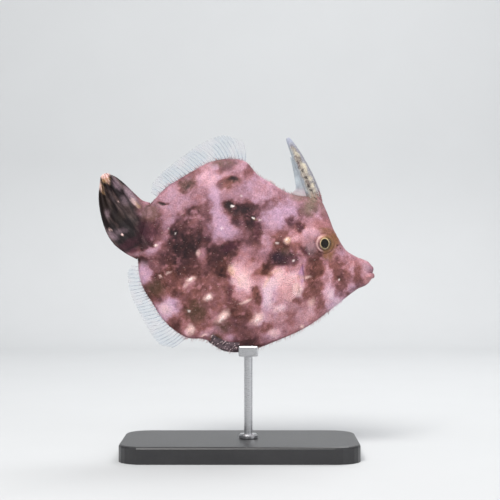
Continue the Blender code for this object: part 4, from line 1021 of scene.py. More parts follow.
def skin_surface():
    """The finished points of the skin, its normals, and the grid's heights."""
    loop, s, t, depth = skin_grid()
    grid = capped(loop)
    s, t, depth = padded_ends(s), padded_ends(t), padded_ends(depth)
    normals = grid_normals(grid, True)
    if (normals[..., 1] * grid[..., 1]).sum() < 0:
        normals = -normals
    lift = relief(grid.reshape(-1, 3), s.ravel(), t.ravel(), depth.ravel()).reshape(s.shape)
    column = np.arange(len(grid))[:, None]
    lift = lift * smooth_step(s / 0.8) * np.where(column == len(grid) - 1, 0, 1)
    edge_lift = np.where(s > SNOUT_FROM_S, 1, np.minimum(1, 2.5 * np.abs(grid[..., 1])))
    return grid + normals * (lift * edge_lift)[..., None], normals, t


def skin_column(s):
    """The column of the skin's grid at section s."""
    ends = (CAP_STEPS, CAP_STEPS + TRUNK_COLUMNS, SKIN_COLUMNS - CAP_STEPS - 1)
    return np.interp(s, (0, HEAD_FROM_S, LIPS_S), ends)


def unwrapped(column, t, left):
    """Places on the skin laid flat, its right side in the first half and its left side in the second."""
    u = np.asarray(column) / (SKIN_COLUMNS - 1) * HALF_UNWRAPPED + (1 - HALF_UNWRAPPED) * np.asarray(left)
    return np.stack((u, np.clip(t, 0.002, 0.998)), -1)


def make_skin(finish):
    """One skin over head, trunk, belly flap and tail root; returns its grid, normals and heights."""
    grid, normals, t = skin_surface()
    columns, count = grid.shape[:2]
    _, faces = loop_faces(columns, count)
    left = np.tile(np.arange(count) >= count // 2, columns - 1)[:, None]
    uvs = unwrapped(faces // count, t.ravel()[faces], left)
    colour = skin_colour(grid.reshape(-1, 3))
    add_piece("fish_skin", grid, faces, finish, colour, SKIN_NODES, uvs, merge=True)
    return grid, normals, t


def spike_shapes(roots, ways, lengths, half, curl, sides, steps):
    """Points and faces of many thin thorns, each bent by curl, a vector, towards its tip."""
    roots = np.asarray(roots, float)
    ways = unit(np.asarray(ways, float))
    lengths = np.asarray(lengths, float)[:, None]
    half = (np.asarray(half, float) * np.ones(len(roots)))[:, None]
    curl = np.asarray(curl)
    guide = np.where(np.abs(ways[:, :1]) < 0.7, (1.0, 0.1, 0.2), (0.1, 1.0, 0.2))
    across = unit(np.cross(ways, guide))
    beside = np.cross(ways, across)
    points = []
    for i in range(steps):
        share = i / steps
        centre = roots + ways * lengths * share + curl * lengths * share**2
        for j in range(sides):
            a = j * 2 * math.pi / sides
            points.append(centre + (across * math.cos(a) + beside * math.sin(a)) * half * (1 - 0.8 * share))
    points.append(roots + ways * lengths + curl * lengths)
    faces = [(0, 2, 1)] if sides == 3 else [(0, j + 1, j) for j in range(1, sides - 1)]
    for i in range(steps - 1):
        for j in range(sides):
            a, b = i * sides + j, i * sides + (j + 1) % sides
            faces += [(a, b, b + sides), (a, b + sides, a + sides)]
    top = (steps - 1) * sides
    faces += [(top + j, top + (j + 1) % sides, top + sides) for j in range(sides)]
    first = np.arange(len(roots)) * len(points)
    return np.stack(points, 1), np.array(faces)[None] + first[:, None, None]


def add_spikes(name, finish, slot, colour, spikes, half, curl, sides, steps, places=None):
    """A piece of many thorns, each of one colour, and, where places are given, each unwrapped to a small
    patch at its own place.
    """
    points, faces = spike_shapes(*spikes, half, curl, sides, steps)
    uvs = None
    if places is not None:
        corners = np.asarray(places)[:, None, None] + PATCH_HALF * np.array(((-1, -1), (1, -1), (0, 1)))
        uvs = np.clip(np.repeat(corners, faces.shape[1], 1), 0, 1).reshape(-1, 2)
    colour = np.repeat(colour, points.shape[1], 0)
    add_piece(name, points, faces.reshape(-1, 3), finish, colour, uvs=uvs, outward=False)


def make_coat(finish, surface):
    """The velvet of fine bristles on each side, thinnest and shortest on the head."""
    grid, normals, t = surface
    count = grid.shape[1]
    step_down = np.linalg.norm(np.diff(grid, axis=0), axis=-1)[:, :-1]
    step_across = np.linalg.norm(np.diff(grid, axis=1), axis=-1)[:-1]
    area = (step_down * step_across)[CAP_STEPS:-CAP_STEPS]
    half = count // 2
    for name, first, last, left in (("coat_right", 0, half, 0), ("coat_left", half, count - 1, 1)):
        draw = np.random.default_rng(5 + first)
        share = area[:, first:last].ravel()
        picked = draw.choice(len(share), TUFTS_EACH_SIDE, p=share / share.sum())
        row = picked // (last - first) + CAP_STEPS
        column = picked % (last - first) + first
        down, across = draw.uniform(size=(2, TUFTS_EACH_SIDE, 1))
        low = grid[row, column] * (1 - across) + grid[row, column + 1] * across
        high = grid[row + 1, column] * (1 - across) + grid[row + 1, column + 1] * across
        roots = low * (1 - down) + high * down
        from_eye = np.hypot(roots[:, 0] - EYE[0], roots[:, 2] - EYE[1])
        kept = (from_eye > COAT_FROM_EYE) & (roots[:, 0] < COAT_TO_X)
        roots, row, column = roots[kept], row[kept], column[kept]
        out = normals[row, column]
        face_share = smooth_step((roots[:, 0] - COAT_SHORTENS[0]) / COAT_SHORTENS[1])
        # A few bristles are longer and painted cream: partly pale bristles, partly a painted glint of light
        # on their tips
        pale = draw.uniform(size=len(roots)) < PALE_GLINT_TUFTS
        lengths = draw.uniform(*COAT_LENGTHS, len(roots)) * (1 - FACE_LOSS * face_share)
        lengths = lengths * np.where(pale, PALE_GLINT_LENGTH, 1)
        lean = np.array(COAT_LEAN) + draw.normal(0, LEAN_SPREAD, (len(roots), 3))
        colour = skin_colour(roots) * draw.normal(1.0, TUFT_TINT_SPREAD, (len(roots), 1))
        colour[pale] = colour[pale] * 0.4 + linear(TINTS["cream"]) * 0.6
        places = unwrapped(row, t[row, column], left)
        spikes = (roots - out * COAT_SINK, out * COAT_RISE + lean, lengths)
        add_spikes(name, finish, "mottled_skin", colour, spikes, COAT_HALF, COAT_CURL * out, 3, 1, places)


def make_edge_bristles(finish):
    """Longer pale bristles that stand along the back, the belly line and the bases of the fins."""
    draw = np.random.default_rng(8)
    roots, ways, lengths, places = [], [], [], []
    for top, first, last, amount in EDGE_BRISTLES:
        for s in draw.uniform(first, last, amount):
            normal = outline_normal(s, top)
            place = outline_point(s, top) - normal * 0.5
            side = draw.uniform(-0.5, 0.5)
            roots.append((place[0], side, place[1]))
            way = np.array((normal[0] - 0.35, side * 0.8 + draw.normal(0, 0.2), normal[1]))
            ways.append(way + draw.normal(0, 0.18, 3))
            lengths.append(EDGE_LENGTH * draw.uniform(0.45, 1.0) + 0.3)
            places.append(unwrapped(skin_column(s), float(top), side > 0))
    colour = skin_colour(roots) * 0.6 + linear(TINTS["bristle"]) * 0.4
    spikes = (roots, ways, lengths)
    add_spikes("edge_bristles", finish, "mottled_skin", colour, spikes, *BRISTLE_SHAPE, places)


def make_tail_velvet(finish):
    """Short bristles that carry the coat a little way onto the tail fin."""
    draw = np.random.default_rng(27)
    u = draw.uniform(0, 1, TAIL_TUFTS) ** 2 * TAIL_COAT_SHARE
    v = draw.uniform(0.02, 0.98, TAIL_TUFTS)
    side = draw.choice((-1, 1), TAIL_TUFTS)
    out = np.stack((0 * u, side, 0 * u), -1)
    roots = caudal_place(u, v) + out * (caudal_half(u, v) - 0.05)[:, None]
    ways = out * TAIL_RISE + np.array(TAIL_LEAN) + draw.normal(0, LEAN_SPREAD, (TAIL_TUFTS, 3))
    lengths = draw.uniform(*TAIL_LENGTHS, TAIL_TUFTS)
    colour = skin_colour(roots) * draw.normal(1.0, TUFT_TINT_SPREAD, (TAIL_TUFTS, 1))
    places = unwrapped(u / TAIL_COAT_SHARE * (SKIN_COLUMNS - 1), 1 - v, side > 0)
    spikes = (roots, ways, lengths)
    curl = COAT_CURL * out
    add_spikes("tail_velvet", finish, "mottled_skin", colour, spikes, COAT_HALF, curl, 3, 1, places)


def make_cirri(finish):
    """Clusters of little flaps of skin at the pale spots of both sides, and single ones elsewhere."""
    draw = np.random.default_rng(12)
    roots, ways, lengths, places = [], [], [], []
    for x, z, long, high, *_ in ACCENTS[CREAM_SPOTS][2]:
        size = min(1.1, max(long, high))
        s, t = place_on_side(x, z)
        surface = width_at(x, z)
        for side in (-1, 1):
            places += FLAPS_PER_SPOT * [unwrapped(skin_column(s), t, side > 0)]
            for _ in range(FLAPS_PER_SPOT):
                shift = draw.normal(0, 0.22, 2) * size
                roots.append((x + shift[0], side * (surface - 0.25), z + shift[1]))
                ways.append((-0.5 + draw.normal(0, 0.35), side * 0.9, 0.1 + draw.normal(0, 0.35)))
                lengths.append(draw.uniform(0.45, 0.95) * (0.6 + 0.4 * size))
    for _ in range(LONE_PAPILLAE):
        s, t = draw.uniform(0.5, 11.0), draw.uniform(0.08, 0.92)
        side = draw.choice((-1, 1))
        roots.append(side_point(s, t, side) - (0, side * 0.2, 0))
        ways.append((-0.6 + draw.normal(0, 0.3), side * 0.8, draw.normal(0, 0.3)))
        lengths.append(draw.uniform(0.45, 0.75))
        places.append(unwrapped(skin_column(s), t, side > 0))
    colour = linear(TINTS["flap"]) * 0.65 + skin_colour(roots) * 0.35
    add_spikes("skin_cirri", finish, "mottled_skin", colour, (roots, ways, lengths), *FLAP_SHAPE, places)


def eye_profile():
    """Radius and height of the eyeball's front, from its rim to the middle of the pupil."""
    outer = np.linspace(EYE_RADIUS, IRIS_EDGE, 22)
    dome = EYE_DEPTH * (0.93 - 0.38 * (outer / EYE_RADIUS) ** 1.8)
    inner = np.linspace(DISH_EDGE, 0.0, 16)
    dish = dome[-1] - DISH_STEP - DISH_DEPTH * smooth_step((DISH_EDGE - inner) / 1.2)
    return np.concatenate((outer, inner)), np.concatenate((dome, dish))


def cornea_profile():
    """Radius and height of the cornea, from its rim to its middle."""
    radii = np.linspace(CORNEA_RADIUS, 0.0, 26)
    return radii, EYE_DEPTH * (0.71 + 0.24 * np.sqrt(1 - (radii / CORNEA_RADIUS) ** 2))


def eye_colour(dx, dz, side):
    """The gold ring close round the pupil, and an outer iris that carries on the colours of the skin."""
    from_pupil = np.hypot(dx / PUPIL[0], dz / PUPIL[1])
    radius = np.hypot(dx, dz)
    angle = np.arctan2(dz, dx)
    ray = 0.5 + 0.5 * np.sin(46 * angle + 2.0 * np.sin(5 * angle)) * smooth_step((radius - 1.6) / 0.6)
    points = np.stack((EYE[0] + dx, np.full_like(dx, side * 5.0), EYE[1] + dz), -1)
    ring = smooth_step((from_pupil - 0.98) / 0.06) * smooth_step((1.27 - from_pupil) / 0.08)
    colour = layered((
        ("iris_brown", 1.0 + 0 * dx),
        ("iris_rose", smooth_step((-dx - 0.2) / 1.6) * 0.95),
        ("iris_peach", smooth_step((dz - 1.0) / 1.2) * smooth_step((0.9 - dx) / 1.2) * 0.75),
        (skin_colour(points), smooth_step((radius - 2.2) / 0.9) * 0.8),
        ("iris_rim", hump(radius - 2.75, 0.22) * smooth_step((-dx - 0.2) / 1.5) * 0.5),
        ("ring_shade", hump(from_pupil - 1.36, 0.06) * 0.5),
        ("ring_gold", ring),
        ("pupil", smooth_step((1.04 - from_pupil) / 0.06)),
    ))
    return colour * (0.9 + 0.2 * ray + 0.15 * cloud(points, 0.8, 71))[:, None]


def make_eye(name, side, iris, clear):
    """An eyeball with its dished iris and pupil, under a clear cornea, tilted to lie along the head."""
    angles = np.arange(EYE_SIDES) * 2 * math.pi / EYE_SIDES
    surface = width_at(*EYE) - EYE_SINK
    slope_x = (width_at(EYE[0] + 2, EYE[1]) - width_at(EYE[0] - 2, EYE[1])) / 4
    slope_z = (width_at(EYE[0], EYE[1] + 2) - width_at(EYE[0], EYE[1] - 2)) / 4
    for ending, (radii, heights), finish, nodes in (
        ("_ball", eye_profile(), iris, [name]),
        ("_cornea", cornea_profile(), clear, []),
    ):
        dx = radii[:, None] * np.cos(angles)[None, :]
        dz = radii[:, None] * np.sin(angles)[None, :]
        out = surface + heights[:, None] + slope_x * dx + slope_z * dz
        points = np.stack((EYE[0] + dx, side * out, EYE[1] + dz), -1).reshape(-1, 3)
        points = np.concatenate((points, ((EYE[0], side * (surface - 1.2), EYE[1]),)))
        number, faces = loop_faces(len(radii), EYE_SIDES)
        back = [[len(points) - 1, b, a] for a, b in zip(number[0], np.roll(number[0], -1))]
        colour = eye_colour(points[:, 0] - EYE[0], points[:, 2] - EYE[1], side)
        add_piece(name + ending, points, faces.tolist() + back, finish, colour, nodes, merge=True)


def edge_fin_place(s_range, top, lengths, leans):
    """Points of a fin along the back or the belly line: u from root to margin, v from front to rear."""

    def place(u, v):
        s = s_range[0] + (s_range[1] - s_range[0]) * v
        normal = outline_normal(s, top)
        back = np.stack((-np.abs(normal[..., 1]), np.sign(normal[..., 1]) * normal[..., 0]), -1)
        roots = outline_point(s, top) - normal * FIN_SINK
        length = lengths[0] + (lengths[1] - lengths[0]) * v**FIN_FALL
        length = length * (FIN_FRONT[0] + FIN_FRONT[1] * smooth_step(v * FIN_FRONT[2]))
        loss = FIN_REAR[0] * smooth_step((v - FIN_REAR[1]) / FIN_REAR[2])
        length = (length * (1 - loss) + FIN_SINK)[..., None]
        lean = np.radians(leans[0] + (leans[1] - leans[0]) * v)[..., None]
        tips = roots + (normal * np.cos(lean) + back * np.sin(lean)) * length
        controls = roots + (normal * np.cos(lean / 2) + back * np.sin(lean / 2)) * length * 0.5
        w = u[..., None]
        centre = roots * (1 - w) ** 2 + 2 * controls * w * (1 - w) + tips * w**2
        bend = FIN_SWAY * np.sin(2 * math.pi * v) * u**2 + FIN_RIPPLE * np.sin(31 * v) * u
        return np.stack((centre[..., 0], bend, centre[..., 1]), -1)

    return place


def caudal_place(u, v):
    """Points of the folded tail fin, whose rays stand alternately to one side and the other."""
    upper = along(CAUDAL_UPPER, u * (len(CAUDAL_UPPER) - 1))
    lower = along(CAUDAL_LOWER, u * (len(CAUDAL_LOWER) - 1))
    centre = upper * (1 - v[..., None]) + lower * v[..., None]
    bulge = CAUDAL_BULGE * np.sqrt(np.clip(1 - (2 * v - 1) ** 2, 0, 1)) * u**5
    centre = centre + bulge[..., None] * unit(np.array(CAUDAL_WAY))
    fold = CAUDAL_FOLD * np.cos(math.pi * v * (CAUDAL_RAYS - 1)) * smooth_step(u * 1.6)
    return np.stack((centre[..., 0], CAUDAL_BEND * u**2 + fold, centre[..., 1]), -1)


def caudal_half(u, v):
    """Half of the tail fin's thickness, which at its root is the body's."""
    root = half_width(np.zeros_like(v), 1 - v) - COAT_DEPTH
    return CAUDAL_HALF + (root - CAUDAL_HALF) * np.exp(-4.0 * u)


def pectoral_place(side):
    """Points of the fan behind the gill slit, which turns back along the flank."""
    surface = width_at(*PECTORAL_BASE)
    fine = np.linspace(0, 1, 201)
    turn = np.radians(90 - PECTORAL_TURN * smooth_step(fine * 2.6))
    outward = np.cumsum(np.sin(turn)) * PECTORAL_LENGTH / 200
    backward = np.cumsum(np.cos(turn)) / 200

    def place(u, v):
        spread = 2 * v - 1
        fan = np.radians(PECTORAL_DROOP + spread * PECTORAL_SPREAD / 2)
        reach = PECTORAL_LENGTH * (1 - PECTORAL_TAPER * np.abs(spread) ** 2.5) * np.interp(u, fine, backward)
        x = PECTORAL_BASE[0] - reach * np.cos(fan)
        z = PECTORAL_BASE[1] + spread * PECTORAL_ROOT_HEIGHT / 2 + reach * np.sin(fan)
        y = surface - PECTORAL_SINK + np.interp(u, fine, outward) + 0.12 * np.cos(9 * spread) * u
        return np.stack((x, side * y, z), -1)

    return place


def make_sheet(name, place, rays, rows, between, scallop, half, finish, colour, slot, node):
    """A fin's membrane, drawn in a little between one ray's tip and the next."""
    v = np.linspace(0, 1, (rays - 1) * between + 1)[None, :]
    u = np.linspace(0, 1, rows)[:, None] * (1 - scallop * np.sin(math.pi * v * (rays - 1)) ** 2)
    v = v * np.ones_like(u)
    centre = place(u, v)
    normal = grid_normals(centre, False)
    thick = half(u, v)[..., None]
    points, faces = slab_shape(centre + normal * thick, centre - normal * thick)
    add_piece(name, points, faces, finish, colour(points), [node])


def make_rays(name, place, rays, radii, fork, spread, finish, colour, slot):
    """Rays that taper from root to tip and divide in two towards the margin."""
    shapes = []
    gap = 1 / (rays - 1)
    fork_radius = radii[0] + (radii[1] - radii[0]) * fork
    for middle in np.arange(rays) * gap:
        stem = place(np.linspace(0.0, fork, RAY_RINGS), np.full(RAY_RINGS, middle))
        shapes.append(tube_shape(stem, np.linspace(radii[0], fork_radius, RAY_RINGS), 6))
        for way in (-1, 1):
            u = np.linspace(fork - 0.03, 1.0, RAY_RINGS)
            open_share = smooth_step((u - fork) / (1 - fork) * 1.2)
            v = np.clip(middle + way * spread * gap * open_share, 0, 1)
            radius = np.linspace(fork_radius * 0.85, radii[1], RAY_RINGS)
            shapes.append(tube_shape(place(u, v), radius, 5))
    points, faces = join_shapes(shapes)
    add_piece(name, points, faces, finish, colour(points))


def fin_colour(points):
    """Clear and bluish, whiter in patches."""
    base = np.ones((len(points), 3)) * linear(TINTS["clear_blue"])
    return mixed(base, "clear_white", smooth_step(cloud(points, 2.6, 25) + 0.4) * 0.8)


def rosy_fin_colour(points):
    """The faint rose of the pectoral fins."""
    rose = np.ones((len(points), 3)) * linear(TINTS["clear_rose"])
    return rose * (1 + 0.2 * cloud(points, 1.5, 65)[:, None])


def thin_sheet(u, v):
    """Half of a clear fin's thickness, more at its root."""
    return THIN_HALF + THIN_ROOT * (1 - smooth_step(u * 4)) + 0 * v


def make_fin(name, place, rays, sheet, half, ray, finishes, colour, slot):
    """A membrane, which takes the place of the fin's node, and the rays on it."""
    make_sheet(name + "_membrane", place, rays, *sheet, half, finishes[0], colour, slot, name)
    make_rays(name + "_rays", place, rays, *ray, finishes[1], colour, slot)


def make_fins(clear, clear_ray, dark):
    for name, s_range, top, lengths, leans, rays in (
        ("dorsal_fin", DORSAL_S, True, DORSAL_LENGTHS, DORSAL_LEANS, DORSAL_RAYS),
        ("anal_fin", ANAL_S, False, ANAL_LENGTHS, ANAL_LEANS, ANAL_RAYS),
    ):
        place = edge_fin_place(s_range, top, lengths, leans)
        finishes = (clear, clear_ray)
        make_fin(name, place, rays, EDGE_SHEET, thin_sheet, EDGE_RAY, finishes, fin_colour, "clear_fin")
    for name, side in (("pectoral_fin_left", 1), ("pectoral_fin_right", -1)):
        make_fin(
            name, pectoral_place(side), PECTORAL_RAYS, PECTORAL_SHEET, thin_sheet, PECTORAL_RAY,
            (clear, clear), rosy_fin_colour, "clear_fin",
        )
    make_fin(
        "caudal_fin", caudal_place, CAUDAL_RAYS, CAUDAL_SHEET, caudal_half, CAUDAL_RAY,
        (dark, dark), skin_colour, "dark_fin",
    )


def spine_point(f):
    a, b, c = (np.array(p) for p in SPINE_PATH)
    f = np.asarray(f, float)[..., None]
    return a * (1 - f) ** 2 + 2 * b * f * (1 - f) + c * f**2


def spine_radii(f):
    share = (1 - np.clip(f, 0, 1) ** SPINE_BLUNTNESS[0]) ** SPINE_BLUNTNESS[1]
    return [SPINE_TIP[i] + (SPINE_ROOT[i] - SPINE_TIP[i]) * share for i in (0, 1)]


def spine_frame(f):
    """Centre, way ahead and way to the rear at places along the spine."""
    centre = spine_point(f)
    step = spine_point(np.asarray(f) + 0.01) - spine_point(np.asarray(f) - 0.01)
    ahead = unit(np.stack((step[..., 0], 0 * step[..., 0], step[..., 1]), -1))
    rearward = np.stack((-ahead[..., 2], 0 * ahead[..., 0], ahead[..., 0]), -1)
    return np.stack((centre[..., 0], 0 * centre[..., 0], centre[..., 1]), -1), ahead, rearward


def make_spine(finish):
    """The first dorsal spine, rough and lightly grooved along its length."""
    centre, _, rearward = spine_frame(np.linspace(-0.09, 1, SPINE_RINGS))
    in_plane, beside = spine_radii(np.linspace(-0.09, 1, SPINE_RINGS))
    angles = np.arange(SPINE_SIDES) * 2 * math.pi / SPINE_SIDES
    out_plane = np.cos(angles)[None, :, None] * rearward[:, None]
    out_side = np.sin(angles)[None, :, None] * np.array((0.0, 1.0, 0.0))
    grid = centre[:, None] + out_plane * in_plane[:, None, None] + out_side * beside[:, None, None]
    bumps = 0.10 * cloud(grid.reshape(-1, 3), 0.8, 21) + 0.05 * cloud(grid.reshape(-1, 3), 0.35, 29)
    size = np.minimum(1, beside / 0.7)[:, None]
    grooves = -0.10 * np.abs(np.cos(2 * angles))[None, :] ** 6
    lift = (bumps.reshape(SPINE_RINGS, SPINE_SIDES) + grooves) * size
    grid = grid + unit(out_plane + out_side) * lift[..., None]
    number, faces = loop_faces(SPINE_RINGS, SPINE_SIDES)
    faces = faces.tolist() + [number[0][::-1].tolist(), number[-1].tolist()]
    colour = spine_colour(grid.reshape(-1, 3))
    add_piece("dorsal_spine_skin", grid, faces, finish, colour, ["dorsal_spine"])


def make_barbs(finish):
    """Rows of barbs that point down the spine, on its sides and rear."""
    draw = np.random.default_rng(3)
    roots, ways, lengths, halves = [], [], [], []
    for angle, count, long, short in BARB_ROWS:
        for side in (-1, 1):
            for i in range(count):
                share = (i + 0.5 * (side > 0)) / count
                f = 0.10 + 0.87 * share
                centre, ahead, rearward = spine_frame(f)
                in_plane, beside = spine_radii(f)
                a = math.radians(angle * side)
                out = rearward * math.cos(a) + np.array((0, math.sin(a), 0))
                root = centre + rearward * in_plane * 0.85 * math.cos(a)
                roots.append(root + (0, beside * 0.85 * math.sin(a), 0))
                slant = math.radians(38 + draw.normal(0, 8))
                ways.append(out * math.cos(slant) - ahead * math.sin(slant))
                lengths.append((long + (short - long) * share) * draw.uniform(0.8, 1.15) + 0.15 * in_plane)
                halves.append(0.20 - 0.09 * share)
    colour = spine_colour(roots)
    colour = mixed(colour, "barb", 0.4)
    spikes = (roots, ways, lengths)
    add_spikes("dorsal_spine_barbs", finish, "spine_skin", colour, spikes, halves, BARB_CURL, 5, 4)


def make_web(clear):
    """The web of skin from the back of the spine down to the back line."""
    rows, columns = WEB_GRID
    f = np.linspace(0.0, WEB_TOP, rows)
    centre, _, rearward = spine_frame(f)
    front = centre + rearward * (spine_radii(f)[0] * 0.5)[:, None]
    rear = along(WEB_REAR, np.linspace(0, len(WEB_REAR) - 1, rows))
    rear = np.stack((rear[:, 0], 0 * rear[:, 0], rear[:, 1]), -1)
    v = np.linspace(0, 1, columns)[None, :, None]
    sheet = front[:, None] * (1 - v) + rear[:, None] * v
    for j in range(columns):
        sheet[0, j, 2] = back_height(sheet[0, j, 0]) - 0.4
    sheet[..., 1] += 0.12 * np.sin(9 * v[..., 0]) * np.linspace(1, 0.2, rows)[:, None]
    half = 0.10 + 0.35 * hump(np.linspace(0, 1, rows)[:, None], 0.10) * np.ones((1, columns))
    half = half * (1 - 0.6 * v[..., 0] ** 2)
    shift = np.stack((0 * half, half, 0 * half), -1)
    points, faces = slab_shape(sheet + shift, sheet - shift)
    streaks = cloud(points * (1, 1, 0.35), 0.9, 77)[:, None]
    tone = linear(TINTS["web_grey"]) * (1 + 0.4 * streaks)
    tone = mixed(tone, "web_tan", np.tile(1 - smooth_step(v[0, :, 0] * 1.8), 2 * rows) * 0.8)
    foot = 1 - smooth_step((points[:, 2] - WEB_FOOT_Z) / 2.5)
    tone = mixed(tone, skin_colour(points) * 0.5 + linear(TINTS["web_foot"]) * 0.5, foot * 0.8)
    add_piece("spine_web", points, faces, clear, tone, ["spine_membrane"])


def make_rudiment(finish):
    """The bony end of the keel."""
    rows, columns = RUDIMENT_GRID
    s = np.linspace(*RUDIMENT_S, rows)[:, None] * np.ones((1, columns))
    t = np.linspace(-0.004, RUDIMENT_SHARE, columns)[None, :] * np.ones((rows, 1))
    edge = np.sqrt(np.clip(1 - (1 - np.minimum(1, (t + 0.004) / 0.012)) ** 2, 0, 1))
    along_keel = np.linspace(0, 1, rows)[:, None]
    ends = smooth_step(along_keel * 7) * smooth_step(along_keel[::-1] * 7)
    grids = []
    for side in (1, -1):
        grid = side_point(s, t, side)
        bumps = 0.22 * lattice_noise(grid.reshape(-1, 3), 0.8, 40).reshape(rows, columns)
        bulk = np.abs(grid[..., 1]) * edge * (0.5 + 0.5 * ends)
        grid[..., 1] = side * (bulk + (0.18 + bumps) * edge * ends)
        grids.append(grid)
    points, faces = slab_shape(*grids)
    colour = linear(TINTS["bony"]) * (1 + 0.8 * cloud(points, 1.0, 44)[:, None])
    add_piece("pelvic_rudiment_bone", points, faces, finish, colour, ["pelvic_rudiment"])


def make_thorns(finish):
    """Small thorns all over the end of the keel, and a larger pair."""
    draw = np.random.default_rng(19)
    roots, ways, lengths = [], [], []
    for _ in range(THORNS):
        place_s = draw.uniform(RUDIMENT_S[0] + 0.05, RUDIMENT_S[1] - 0.05)
        place_t = draw.uniform(0.0, RUDIMENT_SHARE)
        side = draw.choice((-1, 1))
        roots.append(side_point(place_s, place_t, side) * (1, 0.92, 1))
        back = -0.7 + draw.normal(0, 0.25)
        out = side * draw.uniform(0.3, 1.0)
        ways.append((back, out, -0.55 + draw.normal(0, 0.25)))
        lengths.append(draw.uniform(0.5, 1.35))
    for side in (-1, 1):
        roots.append(np.array(LARGE_THORN) * (1, side, 1))
        ways.append(np.array(LARGE_THORN_WAY) * (1, side, 1))
        lengths.append(LARGE_THORN_LENGTH)
    colour = np.ones((len(roots), 3)) * linear(TINTS["thorn"])
    spikes = (roots, ways, lengths)
    add_spikes("pelvic_rudiment_thorns", finish, "spine_skin", colour, spikes, *THORN_SHAPE)


def add_node(tree, kind, inputs=None, **settings):
    """A shader node; an input may be a value or another node's output."""
    made = tree.nodes.new(kind)
    for name, value in settings.items():
        setattr(made, name, value)
    for socket, value in (inputs or {}).items():
        if isinstance(value, bpy.types.NodeSocket):
            tree.links.new(value, made.inputs[socket])
        else:
            made.inputs[socket].default_value = value
    return made


def new_material(name, roughness, metallic=0.0, specular=0.5):
    made = bpy.data.materials.new(name)
    made.use_nodes = True
    tree = made.node_tree
    shader = tree.nodes["Principled BSDF"]
    shader.inputs["Roughness"].default_value = roughness
    shader.inputs["Metallic"].default_value = metallic
    shader.inputs["Specular IOR Level"].default_value = specular
    place = add_node(tree, "ShaderNodeTexCoord").outputs["Object"]
    return made, tree, shader, place


def ranged(tree, value, low, high, start=0.0, end=1.0):
    """The value, from start to end, spread between two limits."""
    return add_node(tree, "ShaderNodeMapRange", {0: value, 1: start, 2: end, 3: low, 4: high}).outputs[0]


def noise(tree, place, size, detail=3.0):
    """Noise whose lumps are about size millimetres across."""
    inputs = {"Vector": place, "Scale": 1 / (size * MM), "Detail": detail, "Roughness": 0.6}
    return add_node(tree, "ShaderNodeTexNoise", inputs).outputs["Fac"]


def cells(tree, place, size):
    """A pattern of grains about size millimetres across."""
    inputs = {"Vector": place, "Scale": 1 / (size * MM)}
    return add_node(tree, "ShaderNodeTexVoronoi", inputs).outputs["Distance"]


def shaded(tree, colour, factor, low, high, start=0.0, end=1.0):
    """The colour made darker and lighter by a factor that runs from start to end."""
    value = ranged(tree, factor, low, high, start, end)
    grey = add_node(tree, "ShaderNodeCombineColor", {0: value, 1: value, 2: value}).outputs[0]
    mix = add_node(tree, "ShaderNodeMix", data_type="RGBA", blend_type="MULTIPLY", clamp_result=False)
    mix.inputs[0].default_value = 1.0
    tree.links.new(colour, mix.inputs[6])
    tree.links.new(grey, mix.inputs[7])
    return mix.outputs[2]


def bumped(tree, shader, height, distance, strength=1.0, under=None):
    """Gives the shader a bump of distance millimetres, over another bump if there is one."""
    inputs = {"Height": height, "Distance": distance * MM, "Strength": strength}
    if under:
        inputs["Normal"] = under
    normal = add_node(tree, "ShaderNodeBump", inputs).outputs["Normal"]
    tree.links.new(normal, shader.inputs["Normal"])
    return normal


def tinted_material(name, roughness, fine, grain, bump, subsurface, specular):
    """A living surface: its painted tint, broken up by fine mottling, with a bump of small grains."""
    made, tree, shader, place = new_material(name, roughness, specular=specular)
    tint = add_node(tree, "ShaderNodeAttribute", attribute_name="tint").outputs["Color"]
    colour = shaded(tree, tint, noise(tree, place, fine), *MOTTLING)
    grains = cells(tree, place, grain)
    colour = shaded(tree, colour, grains, *GRAIN_SHADE)
    tree.links.new(colour, shader.inputs["Base Color"])
    rough = (roughness - ROUGHNESS_SPREAD, roughness + ROUGHNESS_SPREAD)
    uneven = ranged(tree, noise(tree, place, fine * 3), *rough)
    tree.links.new(uneven, shader.inputs["Roughness"])
    under = bumped(tree, shader, noise(tree, place, fine, 4.0), bump * 1.5, 0.6)
    bumped(tree, shader, grains, bump, 0.8, under)
    if subsurface:
        shader.inputs["Subsurface Weight"].default_value = subsurface
        shader.inputs["Subsurface Radius"].default_value = FLESH_RADIUS
        shader.inputs["Subsurface Scale"].default_value = FLESH_DEPTH * MM
    return made


def clear_material(name, roughness, low, high, streaks):
    """Thin skin that lets the background show through, cloudier in places."""
    made, tree, shader, place = new_material(name, roughness)
    tint = add_node(tree, "ShaderNodeAttribute", attribute_name="tint").outputs["Color"]
    tree.links.new(shaded(tree, tint, noise(tree, place, 0.8), 0.8, 1.15), shader.inputs["Base Color"])
    alpha = ranged(tree, noise(tree, place, streaks), low, high)
    tree.links.new(alpha, shader.inputs["Alpha"])
    bumped(tree, shader, noise(tree, place, 0.3), 0.05, 0.5)
    return made


def cornea_material():
    """Clear and wet: only its gloss shows."""
    made = bpy.data.materials.new("cornea")
    made.use_nodes = True
    tree = made.node_tree
    tree.nodes.remove(tree.nodes["Principled BSDF"])
    gloss = add_node(tree, "ShaderNodeBsdfGlossy", {"Roughness": 0.04})
    clear = add_node(tree, "ShaderNodeBsdfTransparent")
    share = add_node(tree, "ShaderNodeFresnel", {"IOR": 1.38})
    mix = add_node(
        tree, "ShaderNodeMixShader", {0: share.outputs[0], 1: clear.outputs[0], 2: gloss.outputs[0]}
    )
    tree.links.new(mix.outputs[0], tree.nodes["Material Output"].inputs["Surface"])
    return made


def between_colours(tree, value, low, high):
    """A colour that runs from low to high as the value runs from 0 to 1."""
    ramp = add_node(tree, "ShaderNodeValToRGB", {"Fac": value})
    ramp.color_ramp.elements[0].color = low
    ramp.color_ramp.elements[1].color = high
    return ramp.outputs["Color"]


